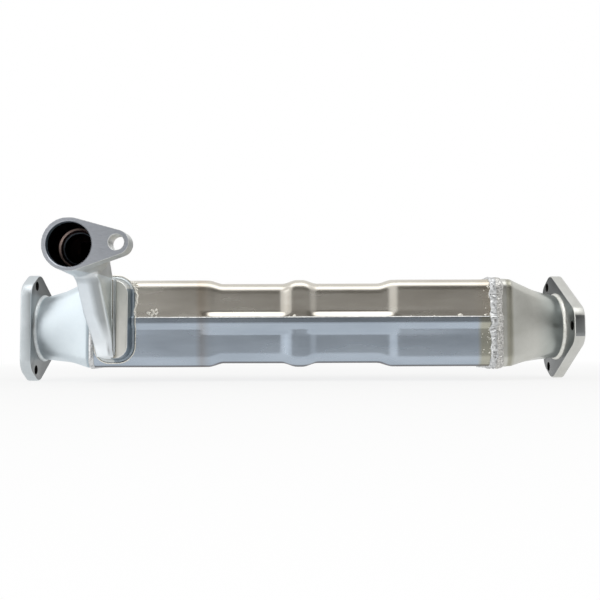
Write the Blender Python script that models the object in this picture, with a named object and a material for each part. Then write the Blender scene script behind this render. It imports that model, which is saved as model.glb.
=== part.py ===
"""Exhaust gas recirculation cooler for a truck engine.

Exhaust gas runs along +X from the inlet flange, through a bundle of flat tubes,
to the outlet flange. Coolant enters the jacket round the tubes through a cast
port on the front (-Y) and leaves through a spigot on the back (+Y).
The origin is the centre of the inlet gas flange's face. Metres, +Z up.
"""

import math

import bmesh
import bpy
from mathutils import Vector

# Fits
GAP = 0.0003                      # clearance between pieces that seat on each other
MERGE = 1e-6                      # points closer than this are one point
SMOOTH_ANGLE = math.radians(32)   # flatter edges than this are shaded smooth

# Whole cooler
OVERALL_LENGTH = 0.568            # between the two gas flange faces
INLET_CONE_LENGTH = 0.061         # inlet flange to the shells
OUTLET_CONE_LENGTH = 0.0735       # shells to the outlet flange

# Gas flanges
FLANGE_THICKNESS = 0.011
BOLT_CIRCLE_RADIUS = 0.050
BOLT_HOLE_RADIUS = 0.0045
BOLT_COUNT = 3
CORNER_MARGIN = 0.0075            # from the bolt circle to the cut-off corner
FLANGE_SIDE_MARGIN = 0.0115       # from the neck to the flange's long sides
CORNER_ROUNDING = 0.016
FLANGE_EDGE_CHAMFER = 0.0007
NECK_SOCKET_DEPTH = 0.006         # how far the neck sits in the flange
NECK_WELD_WIDTH = 0.0036
NECK_WELD_HEIGHT = 0.0030
NECK_WELD_TOE = 0.2               # share of the weld's width left at its top

# Cones
NECK_RADIUS = 0.031
CONE_THICKNESS = 0.002
NECK_STRAIGHT = 0.0034            # straight neck before the cone opens out
INLET_COLLAR = 0.005              # straight collar at the shells
OUTLET_COLLAR = 0.0135
CONE_EASE = 0.035                 # how far the cone's sides bow out near the neck

# Shells
BODY_HALF_WIDTH = 0.043
BODY_HALF_HEIGHT = 0.0446
BODY_RISE = 0.0037                # centre of the body above the gas axis
BODY_CORNER_RADIUS = 0.0105
SHELL_THICKNESS = 0.002
RECESS_DEPTH = 0.0036             # depth of the two pressed bands
RECESS_SLOPE = 0.006              # height of a band's sloped end beside the joint
BAND_START = 0.1096               # first band, from the inlet end of the shells
FIRST_BAND_LENGTH = 0.0962
RIB_WIDTH = 0.0114                # full section left between the bands
SECOND_BAND_LENGTH = 0.0976
BAND_RAMP = 0.016                 # length over which a band sinks to its depth
BAND_END_LAG = 0.008              # how much later the bands begin on top and bottom
RIB_WAIST = 0.0035                # how much narrower the rib is there, on each side
JOINT_ABOVE_CENTRE = 0.0058       # top of the lower shell's lip, above the body centre
LIP_HEIGHT = 0.006
LIP_JOGGLE = 0.005                # height of the step that leads out to the lip
SEAM_MARGIN = 0.0004              # plain wall above the lip before a band begins

# Tube bundle
TUBE_HEIGHT = 0.0066
TUBE_SPACING = 0.0024             # coolant gap between two tubes
TUBE_WALL = 0.0006
TUBE_CORNER_RADIUS = 0.0024
TUBE_SIDE_CLEARANCE = 0.0028      # coolant gap between the bundle and a band
TUBE_END_CLEARANCE = 0.0023       # least coolant gap above and below the bundle
TUBE_STAND_OUT = 0.002            # tube end beyond its plate
TUBE_PLATE_THICKNESS = 0.003
TUBE_PLATE_INSET = 0.010          # plate behind the end of the shells
FIN_THICKNESS = 0.0004
FIN_PITCH = 0.0104
FIN_LEAN = 0.0008                 # how far a fin's walls lean
FIN_INSET = 0.006                 # fin behind the tube's mouth
SUPPORT_THICKNESS = 0.0015
SUPPORT_WINDOW = 0.014            # coolant window beside each support

# Welds round the shell ends
INLET_BEAD_WIDTH = 0.0056
INLET_BEAD_HEIGHT = 0.0013
OUTLET_BEAD_WIDTH = 0.0126
OUTLET_BEAD_HEIGHT = 0.0026
BEAD_TOE = 0.25                   # share of a bead's height at its edges

# Cast coolant inlet
PORT_REACH = 0.103                # port face in front of the body
PORT_FROM_SHELL_END = 0.0075
PORT_HEIGHT = 0.072               # port centre above the gas axis
PORT_OUTER_RADIUS = 0.024
PORT_BORE_RADIUS = 0.0203
PORT_BORE_DRAFT = 0.0016          # the bore narrows by this to its seat
PORT_SEAT_DEPTH = 0.034
PORT_PASSAGE_RADIUS = 0.0142
SEAT_STEP = 0.0012
BOSS_LENGTH = 0.057
BOSS_DRAFT = 0.0022               # the boss widens by this towards the body
BOSS_ROUNDING = 0.006
BOSS_FILLET = 0.0064              # fillet where the duct's front meets the boss
EAR_SPACING = 0.0424
EAR_RISE = 0.0015
EAR_RADIUS = 0.0112
EAR_HOLE_RADIUS = 0.00695
EAR_THICKNESS = 0.020
DUCT_BEFORE_PORT = 0.0076         # from the duct's left side to the port's axis
DUCT_WIDTH = 0.0241
DUCT_WALL = 0.0035
DUCT_LEFT_ROUNDING = 0.006
DUCT_RIGHT_ROUNDING = 0.010
DUCT_INSIDE_SHARE = 0.7           # share of the wall that the inner rounding loses
DUCT_ROUNDING_LIMIT = 0.8         # largest rounding, as a share of the duct's depth
DUCT_SLOPE = 0.83                 # how far the duct's front leans out per height
DUCT_BLEND = 0.006
DUCT_ROOT_BELOW_AXIS = 0.011      # where the sloping front would meet the pad
DUCT_BACK_LEAN = 0.73
DUCT_ROOT_DEPTH = 0.0072          # how deep the duct is rooted in the pad
DUCT_FOOT_TOP = 0.012             # height from which the left side draws in
DUCT_FOOT_CURVE = 1.1
DUCT_FOOT_MARGIN = 0.0012         # pad left below and above the duct
DUCT_FOOT_WALLS = 3               # the passage ends this many walls above the foot
PAD_THICKNESS = 0.013
PAD_WIDTH = 0.031
PAD_TOP = 0.047
PAD_BOTTOM = -0.031
PAD_ROUNDING = 0.010
PAD_DRAFT = 0.0022
PAD_FROM_SHELL_END = 0.009
WINDOW_FRAME = 0.0055             # pad left round the way into the jacket
WINDOW_COVER = 0.0025             # pad wall in front of that way

# Coolant outlet spigot
SPIGOT_FROM_SHELL_END = 0.046
SPIGOT_RADIUS = 0.0175
SPIGOT_WALL = 0.003
SPIGOT_LENGTH = 0.038
SPIGOT_BEAD = 0.0016
SPIGOT_PAD_THICKNESS = 0.008
SPIGOT_PAD_MARGIN = 0.0085

# Mesh steps
ROUND_STEPS = 32
HOLE_STEPS = 14
ARC_STEPS = 4
TUBE_ARC_STEPS = 2
CONE_SIDE_STEPS = 3
CONE_STEPS = 4
RAMP_STEPS = 5
DUCT_STEPS = 8
DUCT_TOP_STEPS = 3
BEAD_STEPS = 5

# Places worked out from the sizes above
SHELL_START = FLANGE_THICKNESS + INLET_CONE_LENGTH
SHELL_END = OVERALL_LENGTH - FLANGE_THICKNESS - OUTLET_CONE_LENGTH
JOINT_Z = BODY_RISE + JOINT_ABOVE_CENTRE
LIP_OFFSET = SHELL_THICKNESS + GAP
CORNER_REACH = BOLT_CIRCLE_RADIUS + CORNER_MARGIN
SIDE_DISTANCE = NECK_RADIUS + FLANGE_SIDE_MARGIN
FIRST_BAND = (SHELL_START + BAND_START, SHELL_START + BAND_START + FIRST_BAND_LENGTH)
SECOND_BAND = (FIRST_BAND[1] + RIB_WIDTH, FIRST_BAND[1] + RIB_WIDTH + SECOND_BAND_LENGTH)
SIDE_BANDS = (FIRST_BAND, SECOND_BAND)
FLAT_BANDS = (
    (FIRST_BAND[0] + BAND_END_LAG, FIRST_BAND[1] + RIB_WAIST),
    (SECOND_BAND[0] - RIB_WAIST, SECOND_BAND[1] - BAND_END_LAG),
)
BUNDLE_HALF_WIDTH = BODY_HALF_WIDTH - SHELL_THICKNESS - RECESS_DEPTH - TUBE_SIDE_CLEARANCE
BUNDLE_HALF_SPACE = BODY_HALF_HEIGHT - SHELL_THICKNESS - RECESS_DEPTH - TUBE_END_CLEARANCE
TUBE_PITCH = TUBE_HEIGHT + TUBE_SPACING
TUBE_COUNT = int((2 * BUNDLE_HALF_SPACE + TUBE_SPACING) / TUBE_PITCH)
INLET_PLATE_X = SHELL_START + TUBE_PLATE_INSET
OUTLET_PLATE_X = SHELL_END - TUBE_PLATE_INSET
TUBE_START = INLET_PLATE_X - TUBE_STAND_OUT
TUBE_END = OUTLET_PLATE_X + TUBE_STAND_OUT
BODY_FRONT = -BODY_HALF_WIDTH
PORT_FACE = BODY_FRONT - PORT_REACH
PORT_X = SHELL_START + PORT_FROM_SHELL_END
PAD_BACK = BODY_FRONT - GAP
PAD_FRONT = PAD_BACK - PAD_THICKNESS
PAD_LEFT = SHELL_START + PAD_FROM_SHELL_END
PAD_RIGHT = PAD_LEFT + PAD_WIDTH
DUCT_LEFT = PORT_X - DUCT_BEFORE_PORT
DUCT_RIGHT = DUCT_LEFT + DUCT_WIDTH
SPIGOT_X = SHELL_END - SPIGOT_FROM_SHELL_END


def clear_scene():
    for thing in list(bpy.data.objects):
        bpy.data.objects.remove(thing, do_unlink=True)


def steel(name, color, roughness, metallic=1.0):
    """A Principled material for one kind of steel surface."""
    material = bpy.data.materials.new(name)
    material.use_nodes = True
    shader = material.node_tree.nodes["Principled BSDF"]
    shader.inputs["Base Color"].default_value = (*color, 1.0)
    shader.inputs["Roughness"].default_value = roughness
    shader.inputs["Metallic"].default_value = metallic
    material.diffuse_color = (*color, 1.0)
    return material


def finish(name, bm, material):
    """Turn a closed bmesh into a named object with round sides shaded smooth."""
    bmesh.ops.remove_doubles(bm, verts=bm.verts, dist=MERGE)
    bmesh.ops.recalc_face_normals(bm, faces=bm.faces)
    mesh = bpy.data.meshes.new(name)
    bm.to_mesh(mesh)
    bm.free()
    mesh.shade_smooth()
    mesh.set_sharp_from_angle(angle=SMOOTH_ANGLE)
    if material is not None:
        mesh.materials.append(material)
    thing = bpy.data.objects.new(name, mesh)
    bpy.context.scene.collection.objects.link(thing)
    return thing


def hidden(name, bm):
    """A cutter or joined shape that is used by modifiers only."""
    thing = finish(name, bm, None)
    thing.hide_render = True
    thing.display_type = "WIRE"
    return thing


def combine(thing, other, operation):
    modifier = thing.modifiers.new(f"{operation.lower()}_{other.name}", "BOOLEAN")
    modifier.operation = operation
    modifier.object = other
    modifier.solver = "EXACT"


def loft(bm, rings, closed=True, capped=True):
    """Skin rings of equal length, with an end face on the first and last."""
    rows = [[bm.verts.new(point) for point in ring] for ring in rings]
    count = len(rows[0])
    last = count if closed else count - 1
    for low, high in zip(rows, rows[1:]):
        for i in range(last):
            j = (i + 1) % count
            bm.faces.new((low[i], low[j], high[j], high[i]))
    if capped:
        bm.faces.new(rows[0])
        bm.faces.new(rows[-1])
    return rows


def loft_loop(bm, rings):
    """Skin rings into a closed tube whose last ring meets its first."""
    rows = [[bm.verts.new(point) for point in ring] for ring in rings]
    count = len(rows[0])
    for k, low in enumerate(rows):
        high = rows[(k + 1) % len(rows)]
        for i in range(count):
            j = (i + 1) % count
            bm.faces.new((low[i], low[j], high[j], high[i]))


def turned(bm, profile, centre, axis, steps):
    """Spin a closed (radius, distance) profile round an axis through centre."""
    axis = Vector(axis).normalized()
    side = axis.orthogonal().normalized()
    verts = [bm.verts.new(Vector(centre) + side * r + axis * h) for r, h in profile]
    edges = [bm.edges.new((verts[i - 1], verts[i])) for i in range(len(verts))]
    bmesh.ops.spin(
        bm, geom=verts + edges, cent=centre, axis=axis, angle=math.tau, steps=steps, use_merge=True
    )
    bmesh.ops.remove_doubles(bm, verts=bm.verts, dist=MERGE)
    bmesh.ops.dissolve_degenerate(bm, dist=MERGE, edges=bm.edges)


def rod(bm, radius, start, end, steps):
    """A plain cylinder between two points."""
    axis = Vector(end) - Vector(start)
    side = axis.orthogonal().normalized()
    other = axis.normalized().cross(side)
    ring = []
    for k in range(steps):
        angle = math.tau * (k + 0.5) / steps
        ring.append(side * math.cos(angle) * radius + other * math.sin(angle) * radius)
    loft(bm, [[Vector(start) + p for p in ring], [Vector(end) + p for p in ring]])


def box(bm, low, high):
    corners = [(low[1], low[2]), (high[1], low[2]), (high[1], high[2]), (low[1], high[2])]
    loft(bm, [[(low[0], y, z) for y, z in corners], [(high[0], y, z) for y, z in corners]])


def rounded_polygon(corners, radius, steps):
    """Round each corner of a convex outline with an arc of the given radius."""
    outline = []
    count = len(corners)
    for i, corner in enumerate(corners):
        here = Vector(corner)
        before = (Vector(corners[i - 1]) - here).normalized()
        after = (Vector(corners[(i + 1) % count]) - here).normalized()
        half = before.angle(after) / 2
        centre = here + (before + after).normalized() * radius / math.sin(half)
        start = here + before * radius / math.tan(half) - centre
        end = here + after * radius / math.tan(half) - centre
        for k in range(steps + 1):
            arm = start.lerp(end, k / steps).normalized() * radius
            if k not in (0, steps):
                turn = start.angle(end) * k / steps
                arm = start * math.cos(turn) + perpendicular(start, end) * math.sin(turn)
            outline.append(tuple(centre + arm))
    return outline


def perpendicular(start, end):
    """The part of end that is square to start, as long as start."""
    square = end - start * (end.dot(start) / start.length_squared)
    return square.normalized() * start.length


def rounded_rectangle(half_y, half_z, radius, side_steps=1, arc_steps=ARC_STEPS):
    """(y, z) points of a rounded rectangle, its straight sides split evenly."""
    corners = [(half_y, -half_z), (half_y, half_z), (-half_y, half_z), (-half_y, -half_z)]
    arcs = rounded_polygon(corners, radius, arc_steps)
    outline = []
    for i, point in enumerate(arcs):
        outline.append(point)
        if (i + 1) % (arc_steps + 1) == 0:
            target = arcs[(i + 1) % len(arcs)]
            for k in range(1, side_steps):
                outline.append(tuple(Vector(point).lerp(Vector(target), k / side_steps)))
    return outline


def flange_outline(direction):
    """Three-bolt flange outline; direction is the way one corner points along Y."""
    half_flat = (SIDE_DISTANCE - CORNER_REACH / 2) / math.sin(math.pi / 3)
    corners = []
    for k in range(BOLT_COUNT):
        angle = math.tau * k / BOLT_COUNT
        out = Vector((math.cos(angle) * direction, math.sin(angle)))
        along = Vector((-math.sin(angle) * direction, math.cos(angle)))
        corners.append(tuple(out * CORNER_REACH - along * half_flat))
        corners.append(tuple(out * CORNER_REACH + along * half_flat))
    return rounded_polygon(corners, CORNER_ROUNDING, ARC_STEPS)


def gas_flange(name, face_x, inward, direction, material):
    """A three-bolt flange whose gas face is at face_x; inward is +1 or -1 along X."""
    back_x = face_x + inward * FLANGE_THICKNESS
    outline = flange_outline(direction)
    shapes = bmesh.new()
    loft(shapes, [[(x, y, z) for y, z in outline] for x in (face_x, back_x)])
    rims = [e for e in shapes.edges if abs(e.verts[0].co.x - e.verts[1].co.x) < MERGE]
    bmesh.ops.bevel(shapes, geom=rims, offset=FLANGE_EDGE_CHAMFER, segments=1, affect="EDGES")
    flange = finish(name, shapes, material)

    weld = bmesh.new()
    inner = NECK_RADIUS + GAP
    root = inner + NECK_WELD_WIDTH
    profile = [(inner - GAP, -NECK_SOCKET_DEPTH / 2), (root, -NECK_SOCKET_DEPTH / 2), (root, 0)]
    for k in range(1, ARC_STEPS + 1):
        turn = math.pi / 2 * k / ARC_STEPS
        width = NECK_WELD_WIDTH * (NECK_WELD_TOE + (1 - NECK_WELD_TOE) * math.cos(turn))
        profile.append((inner + width, NECK_WELD_HEIGHT * math.sin(turn)))
    profile.append((inner - GAP, NECK_WELD_HEIGHT))
    turned(weld, profile, (back_x, 0, 0), (inward, 0, 0), ROUND_STEPS)
    combine(flange, hidden(f"{name}_weld", weld), "UNION")

    holes = bmesh.new()
    past = FLANGE_THICKNESS
    bore = NECK_RADIUS - CONE_THICKNESS
    steps = [(0, -past), (bore, -past), (bore, FLANGE_THICKNESS - NECK_SOCKET_DEPTH)]
    steps.append((inner, FLANGE_THICKNESS - NECK_SOCKET_DEPTH))
    steps.append((inner, FLANGE_THICKNESS + NECK_WELD_HEIGHT + past))
    steps.append((0, FLANGE_THICKNESS + NECK_WELD_HEIGHT + past))
    turned(holes, steps, (face_x, 0, 0), (inward, 0, 0), ROUND_STEPS)
    for k in range(BOLT_COUNT):
        angle = math.tau * k / BOLT_COUNT
        y = math.cos(angle) * BOLT_CIRCLE_RADIUS * direction
        z = math.sin(angle) * BOLT_CIRCLE_RADIUS
        start = (face_x - inward * past, y, z)
        rod(holes, BOLT_HOLE_RADIUS, start, (back_x + inward * past, y, z), HOLE_STEPS)
    combine(flange, hidden(f"{name}_holes", holes), "DIFFERENCE")
    return flange


def cone_ring(x, blend, inset):
    """One ring of a cone: a circle at blend 0, the body's section at blend 1."""
    corner = BODY_CORNER_RADIUS
    outer = rounded_rectangle(BODY_HALF_WIDTH, BODY_HALF_HEIGHT, corner, CONE_SIDE_STEPS)
    square = rounded_rectangle(
        BODY_HALF_WIDTH - inset, BODY_HALF_HEIGHT - inset, corner - inset, CONE_SIDE_STEPS
    )
    radius = NECK_RADIUS - inset
    ring = []
    for (outer_y, outer_z), (y, z) in zip(outer, square):
        angle = math.atan2(outer_z, outer_y)
        ring.append((
            x,
            (1 - blend) * radius * math.cos(angle) + blend * y,
            (1 - blend) * radius * math.sin(angle) + blend * (z + BODY_RISE),
        ))
    return ring


def gas_cone(name, flange_x, shell_x, collar, material):
    """A formed sheet cone from a round neck in its flange to the shells' end."""
    inward = 1 if shell_x > flange_x else -1
    back_x = flange_x + inward * FLANGE_THICKNESS
    stations = [
        (back_x - inward * (NECK_SOCKET_DEPTH - GAP), 0.0),
        (back_x + inward * NECK_STRAIGHT, 0.0),
    ]
    open_x = back_x + inward * NECK_STRAIGHT
    full_x = shell_x - inward * collar
    for k in range(1, CONE_STEPS + 1):
        share = k / CONE_STEPS
        eased = share + CONE_EASE * math.sin(math.tau * share)
        stations.append((open_x + (full_x - open_x) * share, eased))
    stations.append((shell_x - inward * GAP, 1.0))
    bm = bmesh.new()
    outer = [cone_ring(x, blend, 0.0) for x, blend in stations]
    inner = [cone_ring(x, blend, CONE_THICKNESS) for x, blend in stations]
    loft_loop(bm, outer + inner[::-1])
    return finish(name, bm, material)


def recess_at(x, bands):
    """Depth of the pressed bands at x, sinking and rising over their ramps."""
    for start, end in bands:
        if start < x < end:
            edge = min(x - start, end - x) / BAND_RAMP
            return RECESS_DEPTH * (0.5 - 0.5 * math.cos(math.pi * min(edge, 1.0)))
    return 0.0


def spread(low, high, steps):
    return [low + (high - low) * k / steps for k in range(steps + 1)]


def shell_stations():
    """Places along the shells: the bands' outer ramps, and both ramps at the rib."""
    outer = BAND_RAMP + BAND_END_LAG
    stations = [SHELL_START]
    stations += spread(FIRST_BAND[0], FIRST_BAND[0] + outer, RAMP_STEPS)
    stations += spread(FIRST_BAND[1] - BAND_RAMP, SECOND_BAND[0] + BAND_RAMP, 2 * RAMP_STEPS)
    stations += spread(SECOND_BAND[1] - outer, SECOND_BAND[1], RAMP_STEPS)
    stations.append(SHELL_END)
    return stations


def wall_points(inset, side_recess, flat_recess, upper):
    """Half of a shell's section from its joint edge to the middle, as (width, z)."""
    half = BODY_HALF_WIDTH - inset
    side = 1 if upper else -1
    if upper:
        seam = JOINT_Z + SEAM_MARGIN
        points = [(half, JOINT_Z - LIP_HEIGHT + 2 * GAP), (half, seam)]
    else:
        lip_foot = JOINT_Z - LIP_HEIGHT
        seam = lip_foot - LIP_JOGGLE
        points = [(half + LIP_OFFSET, JOINT_Z), (half + LIP_OFFSET, lip_foot), (half, seam)]
    points.append((half - side_recess, seam + side * RECESS_SLOPE))
    radius = BODY_CORNER_RADIUS - inset
    height = BODY_HALF_HEIGHT - inset - flat_recess - radius
    for k in range(ARC_STEPS + 1):
        turn = math.pi / 2 * k / ARC_STEPS
        width = half - side_recess - radius + radius * math.cos(turn)
        points.append((width, BODY_RISE + side * (height + radius * math.sin(turn))))
    return points


def shell_ring(x, upper):
    """Closed section of a shell at x: its outer side out and its inner side back."""
    side_recess = recess_at(x, SIDE_BANDS)
    flat_recess = recess_at(x, FLAT_BANDS)
    outer = wall_points(0.0, side_recess, flat_recess, upper)
    inner = wall_points(SHELL_THICKNESS, side_recess, flat_recess, upper)
    ring = [(x, -w, z) for w, z in outer] + [(x, w, z) for w, z in outer[::-1]]
    ring += [(x, w, z) for w, z in inner] + [(x, -w, z) for w, z in inner[::-1]]
    return ring


def window_box(bm, x_low, x_high, y_low, y_high):
    """The way through the wall, between the pads and the coolant jacket."""
    low = (x_low + WINDOW_FRAME, y_low, PAD_BOTTOM + WINDOW_FRAME)
    high = (x_high - WINDOW_FRAME, y_high, PAD_TOP - WINDOW_FRAME)
    box(bm, low, high)


def body_shell(name, upper, windows, material):
    bm = bmesh.new()
    loft(bm, [shell_ring(x, upper) for x in shell_stations()])
    shell = finish(name, bm, material)
    combine(shell, windows, "DIFFERENCE")
    return shell


def section_outline(x, clearance):
    """Inside of the shells at x, less a clearance, as (y, z) points."""
    inset = SHELL_THICKNESS + clearance
    outline = rounded_rectangle(
        BODY_HALF_WIDTH - inset - recess_at(x, SIDE_BANDS),
        BODY_HALF_HEIGHT - inset - recess_at(x, FLAT_BANDS),
        BODY_CORNER_RADIUS - SHELL_THICKNESS,
    )
    return [(y, z + BODY_RISE) for y, z in outline]


def tube_centres():
    middle = (TUBE_COUNT - 1) / 2
    return [BODY_RISE + (k - middle) * TUBE_PITCH for k in range(TUBE_COUNT)]


def tube_outline(inset, centre_z):
    outline = rounded_rectangle(
        BUNDLE_HALF_WIDTH - inset,
        TUBE_HEIGHT / 2 - inset,
        TUBE_CORNER_RADIUS - inset,
        arc_steps=TUBE_ARC_STEPS,
    )
    return [(y, z + centre_z) for y, z in outline]


def gas_tube(name, centre_z, material):
    bm = bmesh.new()
    outer = tube_outline(0.0, centre_z)
    inner = tube_outline(TUBE_WALL, centre_z)
    ends = (TUBE_START, TUBE_END)
    rings = [[(x, y, z) for y, z in outer] for x in ends]
    rings += [[(x, y, z) for y, z in inner] for x in ends[::-1]]
    loft_loop(bm, rings)
    return finish(name, bm, material)


def tube_fin(name, centre_z, material):
    """A corrugated sheet that fills one tube, thickened on both sides."""
    rise = TUBE_HEIGHT / 2 - TUBE_WALL - GAP - FIN_THICKNESS / 2
    room = 2 * (BUNDLE_HALF_WIDTH - TUBE_WALL - TUBE_CORNER_RADIUS)
    waves = int(room / FIN_PITCH)
    points = []
    for k in range(waves):
        left = (k - waves / 2) * FIN_PITCH
        middle = left + FIN_PITCH / 2
        right = left + FIN_PITCH
        points += [(left + FIN_LEAN, -rise), (middle - FIN_LEAN, -rise)]
        points += [(middle + FIN_LEAN, rise), (right - FIN_LEAN, rise)]
    bm = bmesh.new()
    rings = [
        [(x, y, z + centre_z) for y, z in points]
        for x in (TUBE_START + FIN_INSET, TUBE_END - FIN_INSET)
    ]
    loft(bm, rings, closed=False, capped=False)
    fin = finish(name, bm, material)
    thickness = fin.modifiers.new("sheet", "SOLIDIFY")
    thickness.thickness = FIN_THICKNESS
    thickness.offset = 0.0
    thickness.use_even_offset = True
    return fin


def bundle_cutter():
    """The tubes' outer shapes with clearance, long enough for every plate."""
    bm = bmesh.new()
    for centre_z in tube_centres():
        outline = tube_outline(-GAP, centre_z)
        loft(bm, [[(x, y, z) for y, z in outline] for x in (SHELL_START, SHELL_END)])
    return hidden("bundle_cutter", bm)


def tube_plate(name, x, inward, cutter, material):
    bm = bmesh.new()
    outline = section_outline(x, GAP)
    ends = (x, x + inward * TUBE_PLATE_THICKNESS)
    loft(bm, [[(end, y, z) for y, z in outline] for end in ends])
    plate = finish(name, bm, material)
    combine(plate, cutter, "DIFFERENCE")
    return plate


def tube_support(name, x, side, cutter, material):
    """A comb plate that holds the tubes and leaves a coolant window on one side."""
    bm = bmesh.new()
    outline = section_outline(x, GAP)
    edge = max(y for y, _ in outline) - SUPPORT_WINDOW
    outline = [(min(y * side, edge) * side, z) for y, z in outline]
    outline = [p for i, p in enumerate(outline) if (Vector(p) - Vector(outline[i - 1])).length > MERGE]
    ends = (x - SUPPORT_THICKNESS / 2, x + SUPPORT_THICKNESS / 2)
    loft(bm, [[(end, y, z) for y, z in outline] for end in ends])
    support = finish(name, bm, material)
    combine(support, cutter, "DIFFERENCE")
    return support


def bead_path():
    """Outer contour of the joined shells, lip included, as (y, z) points."""
    lower = wall_points(-GAP, 0.0, 0.0, False)
    upper = wall_points(-GAP, 0.0, 0.0, True)[2:]
    lip_top = (lower[0][0], JOINT_Z + GAP)
    step = (upper[0][0], JOINT_Z + GAP + SEAM_MARGIN)
    half = lower[::-1] + [lip_top, step] + upper[1:]
    front = [(-w, z) for w, z in half]
    back = [(w, z) for w, z in half[::-1]]
    return front + back


def weld_bead(name, centre_x, width, height, material):
    """A rounded weld bead laid round the end of the shells."""
    path = bead_path()
    middle = Vector((0.0, BODY_RISE))
    bm = bmesh.new()
    rings = []
    for k in range(BEAD_STEPS + 1):
        turn = math.pi * k / BEAD_STEPS
        x = centre_x - math.cos(turn) * width / 2
        lift = height * (BEAD_TOE + (1 - BEAD_TOE) * math.sin(turn))
        rings.append(offset_ring(path, middle, x, lift))
    rings.append(offset_ring(path, middle, centre_x + width / 2, 0.0))
    rings.append(offset_ring(path, middle, centre_x - width / 2, 0.0))
    loft_loop(bm, rings)
    return finish(name, bm, material)


def offset_ring(path, middle, x, lift):
    """The path moved outwards by lift, square to itself, at x."""
    ring = []
    count = len(path)
    for i, point in enumerate(path):
        along = Vector(path[(i + 1) % count]) - Vector(path[i - 1])
        out = Vector((along.y, -along.x)).normalized()
        if out.dot(Vector(point) - middle) < 0:
            out = -out
        ring.append((x, *(Vector(point) + out * lift)))
    return ring


def port_plate():
    """The port's flange: a round end and an ear joined by straight sides."""
    big = Vector((PORT_X, PORT_HEIGHT))
    small = big + Vector((EAR_SPACING, EAR_RISE))
    span = small - big
    lean = math.asin((PORT_OUTER_RADIUS - EAR_RADIUS) / span.length)
    heading = math.atan2(span.y, span.x)
    outline = []
    big_steps = ROUND_STEPS * 2 // 3
    start = heading + math.pi / 2 - lean
    sweep = math.pi + 2 * lean
    for k in range(big_steps + 1):
        angle = start + sweep * k / big_steps
        outline.append(big + Vector((math.cos(angle), math.sin(angle))) * PORT_OUTER_RADIUS)
    sweep = math.pi - 2 * lean
    start = heading - math.pi / 2 + lean
    for k in range(HOLE_STEPS + 1):
        angle = start + sweep * k / HOLE_STEPS
        outline.append(small + Vector((math.cos(angle), math.sin(angle))) * EAR_RADIUS)
    bm = bmesh.new()
    ends = (PORT_FACE, PORT_FACE + EAR_THICKNESS)
    loft(bm, [[(p.x, y, p.y) for p in outline] for y in ends])
    rims = [e for e in bm.edges if abs(e.verts[0].co.y - e.verts[1].co.y) < MERGE]
    bmesh.ops.bevel(bm, geom=rims, offset=FLANGE_EDGE_CHAMFER, segments=1, affect="EDGES")
    return bm, small


def port_boss():
    """The round boss behind the port, a little wider towards the body."""
    start = EAR_THICKNESS / 3
    end = BOSS_LENGTH
    radius = PORT_OUTER_RADIUS
    wide = radius + BOSS_DRAFT
    profile = [(0, start), (radius - GAP, start), (radius + GAP, EAR_THICKNESS)]
    profile.append((wide, end - BOSS_ROUNDING))
    for k in range(1, ARC_STEPS + 1):
        turn = math.pi / 2 * k / ARC_STEPS
        profile.append((
            wide - BOSS_ROUNDING + BOSS_ROUNDING * math.cos(turn),
            end - BOSS_ROUNDING + BOSS_ROUNDING * math.sin(turn),
        ))
    profile.append((0, end))
    bm = bmesh.new()
    turned(bm, profile, (PORT_X, PORT_FACE, PORT_HEIGHT), (0, 1, 0), ROUND_STEPS)
    return bm


def duct_front(z):
    """How far the duct stands in front of the pad at height z."""
    lean = DUCT_SLOPE * (z + DUCT_ROOT_BELOW_AXIS)
    return (lean + math.hypot(lean, DUCT_BLEND)) / 2


def duct_ring(z, inset, front, back):
    """A D-shaped level section of the duct, narrower towards its foot."""
    foot = min(max((DUCT_FOOT_TOP - z) / (DUCT_FOOT_TOP - PAD_BOTTOM), 0.0), 1.0) ** DUCT_FOOT_CURVE
    left = DUCT_LEFT + foot * (PAD_LEFT - DUCT_LEFT) + inset
    right = DUCT_RIGHT + foot * DUCT_WALL - inset
    front += inset
    back -= inset
    limit = (back - front) * DUCT_ROUNDING_LIMIT
    radius = min(DUCT_RIGHT_ROUNDING - inset * DUCT_INSIDE_SHARE, limit)
    ring = [(left, back, z), (right, back, z)]
    for k in range(ARC_STEPS + 1):
        turn = math.pi / 2 * k / ARC_STEPS
        ring.append((
            right - radius + radius * math.cos(turn),
            front + radius - radius * math.sin(turn),
            z,
        ))
    radius = min(DUCT_LEFT_ROUNDING - inset * DUCT_INSIDE_SHARE, limit)
    for k in range(ARC_STEPS + 1):
        turn = math.pi / 2 * k / ARC_STEPS
        ring.append((
            left + radius - radius * math.sin(turn),
            front + radius - radius * math.cos(turn),
            z,
        ))
    return ring


def port_duct(inset):
    """The duct from the boss down to the pad, or its inside when inset is set."""
    boss_foot = PORT_HEIGHT - PORT_OUTER_RADIUS - BOSS_DRAFT
    seat_y = PORT_FACE + PORT_SEAT_DEPTH
    bottom = PAD_BOTTOM + DUCT_FOOT_MARGIN + inset * DUCT_FOOT_WALLS
    shoulder = PAD_TOP + DUCT_FOOT_MARGIN
    top = PORT_HEIGHT + PORT_OUTER_RADIUS / 2 - inset
    levels = spread(bottom, shoulder, DUCT_STEPS) + [shoulder - BOSS_FILLET / 2]
    levels += spread(shoulder, top, DUCT_TOP_STEPS)[1:]
    bm = bmesh.new()
    rings = []
    for z in sorted(levels):
        front = PAD_FRONT - duct_front(min(z, boss_foot))
        flare = max(0.0, z - (boss_foot - BOSS_FILLET)) / BOSS_FILLET
        if inset == 0:
            front = max(front - BOSS_FILLET * min(flare, 1.0) ** 2, seat_y + 2 * GAP)
        back = PAD_FRONT + DUCT_ROOT_DEPTH - max(0.0, z - shoulder) * DUCT_BACK_LEAN
        rings.append(duct_ring(z, inset, front, back))
    loft(bm, rings)
    return bm


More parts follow.
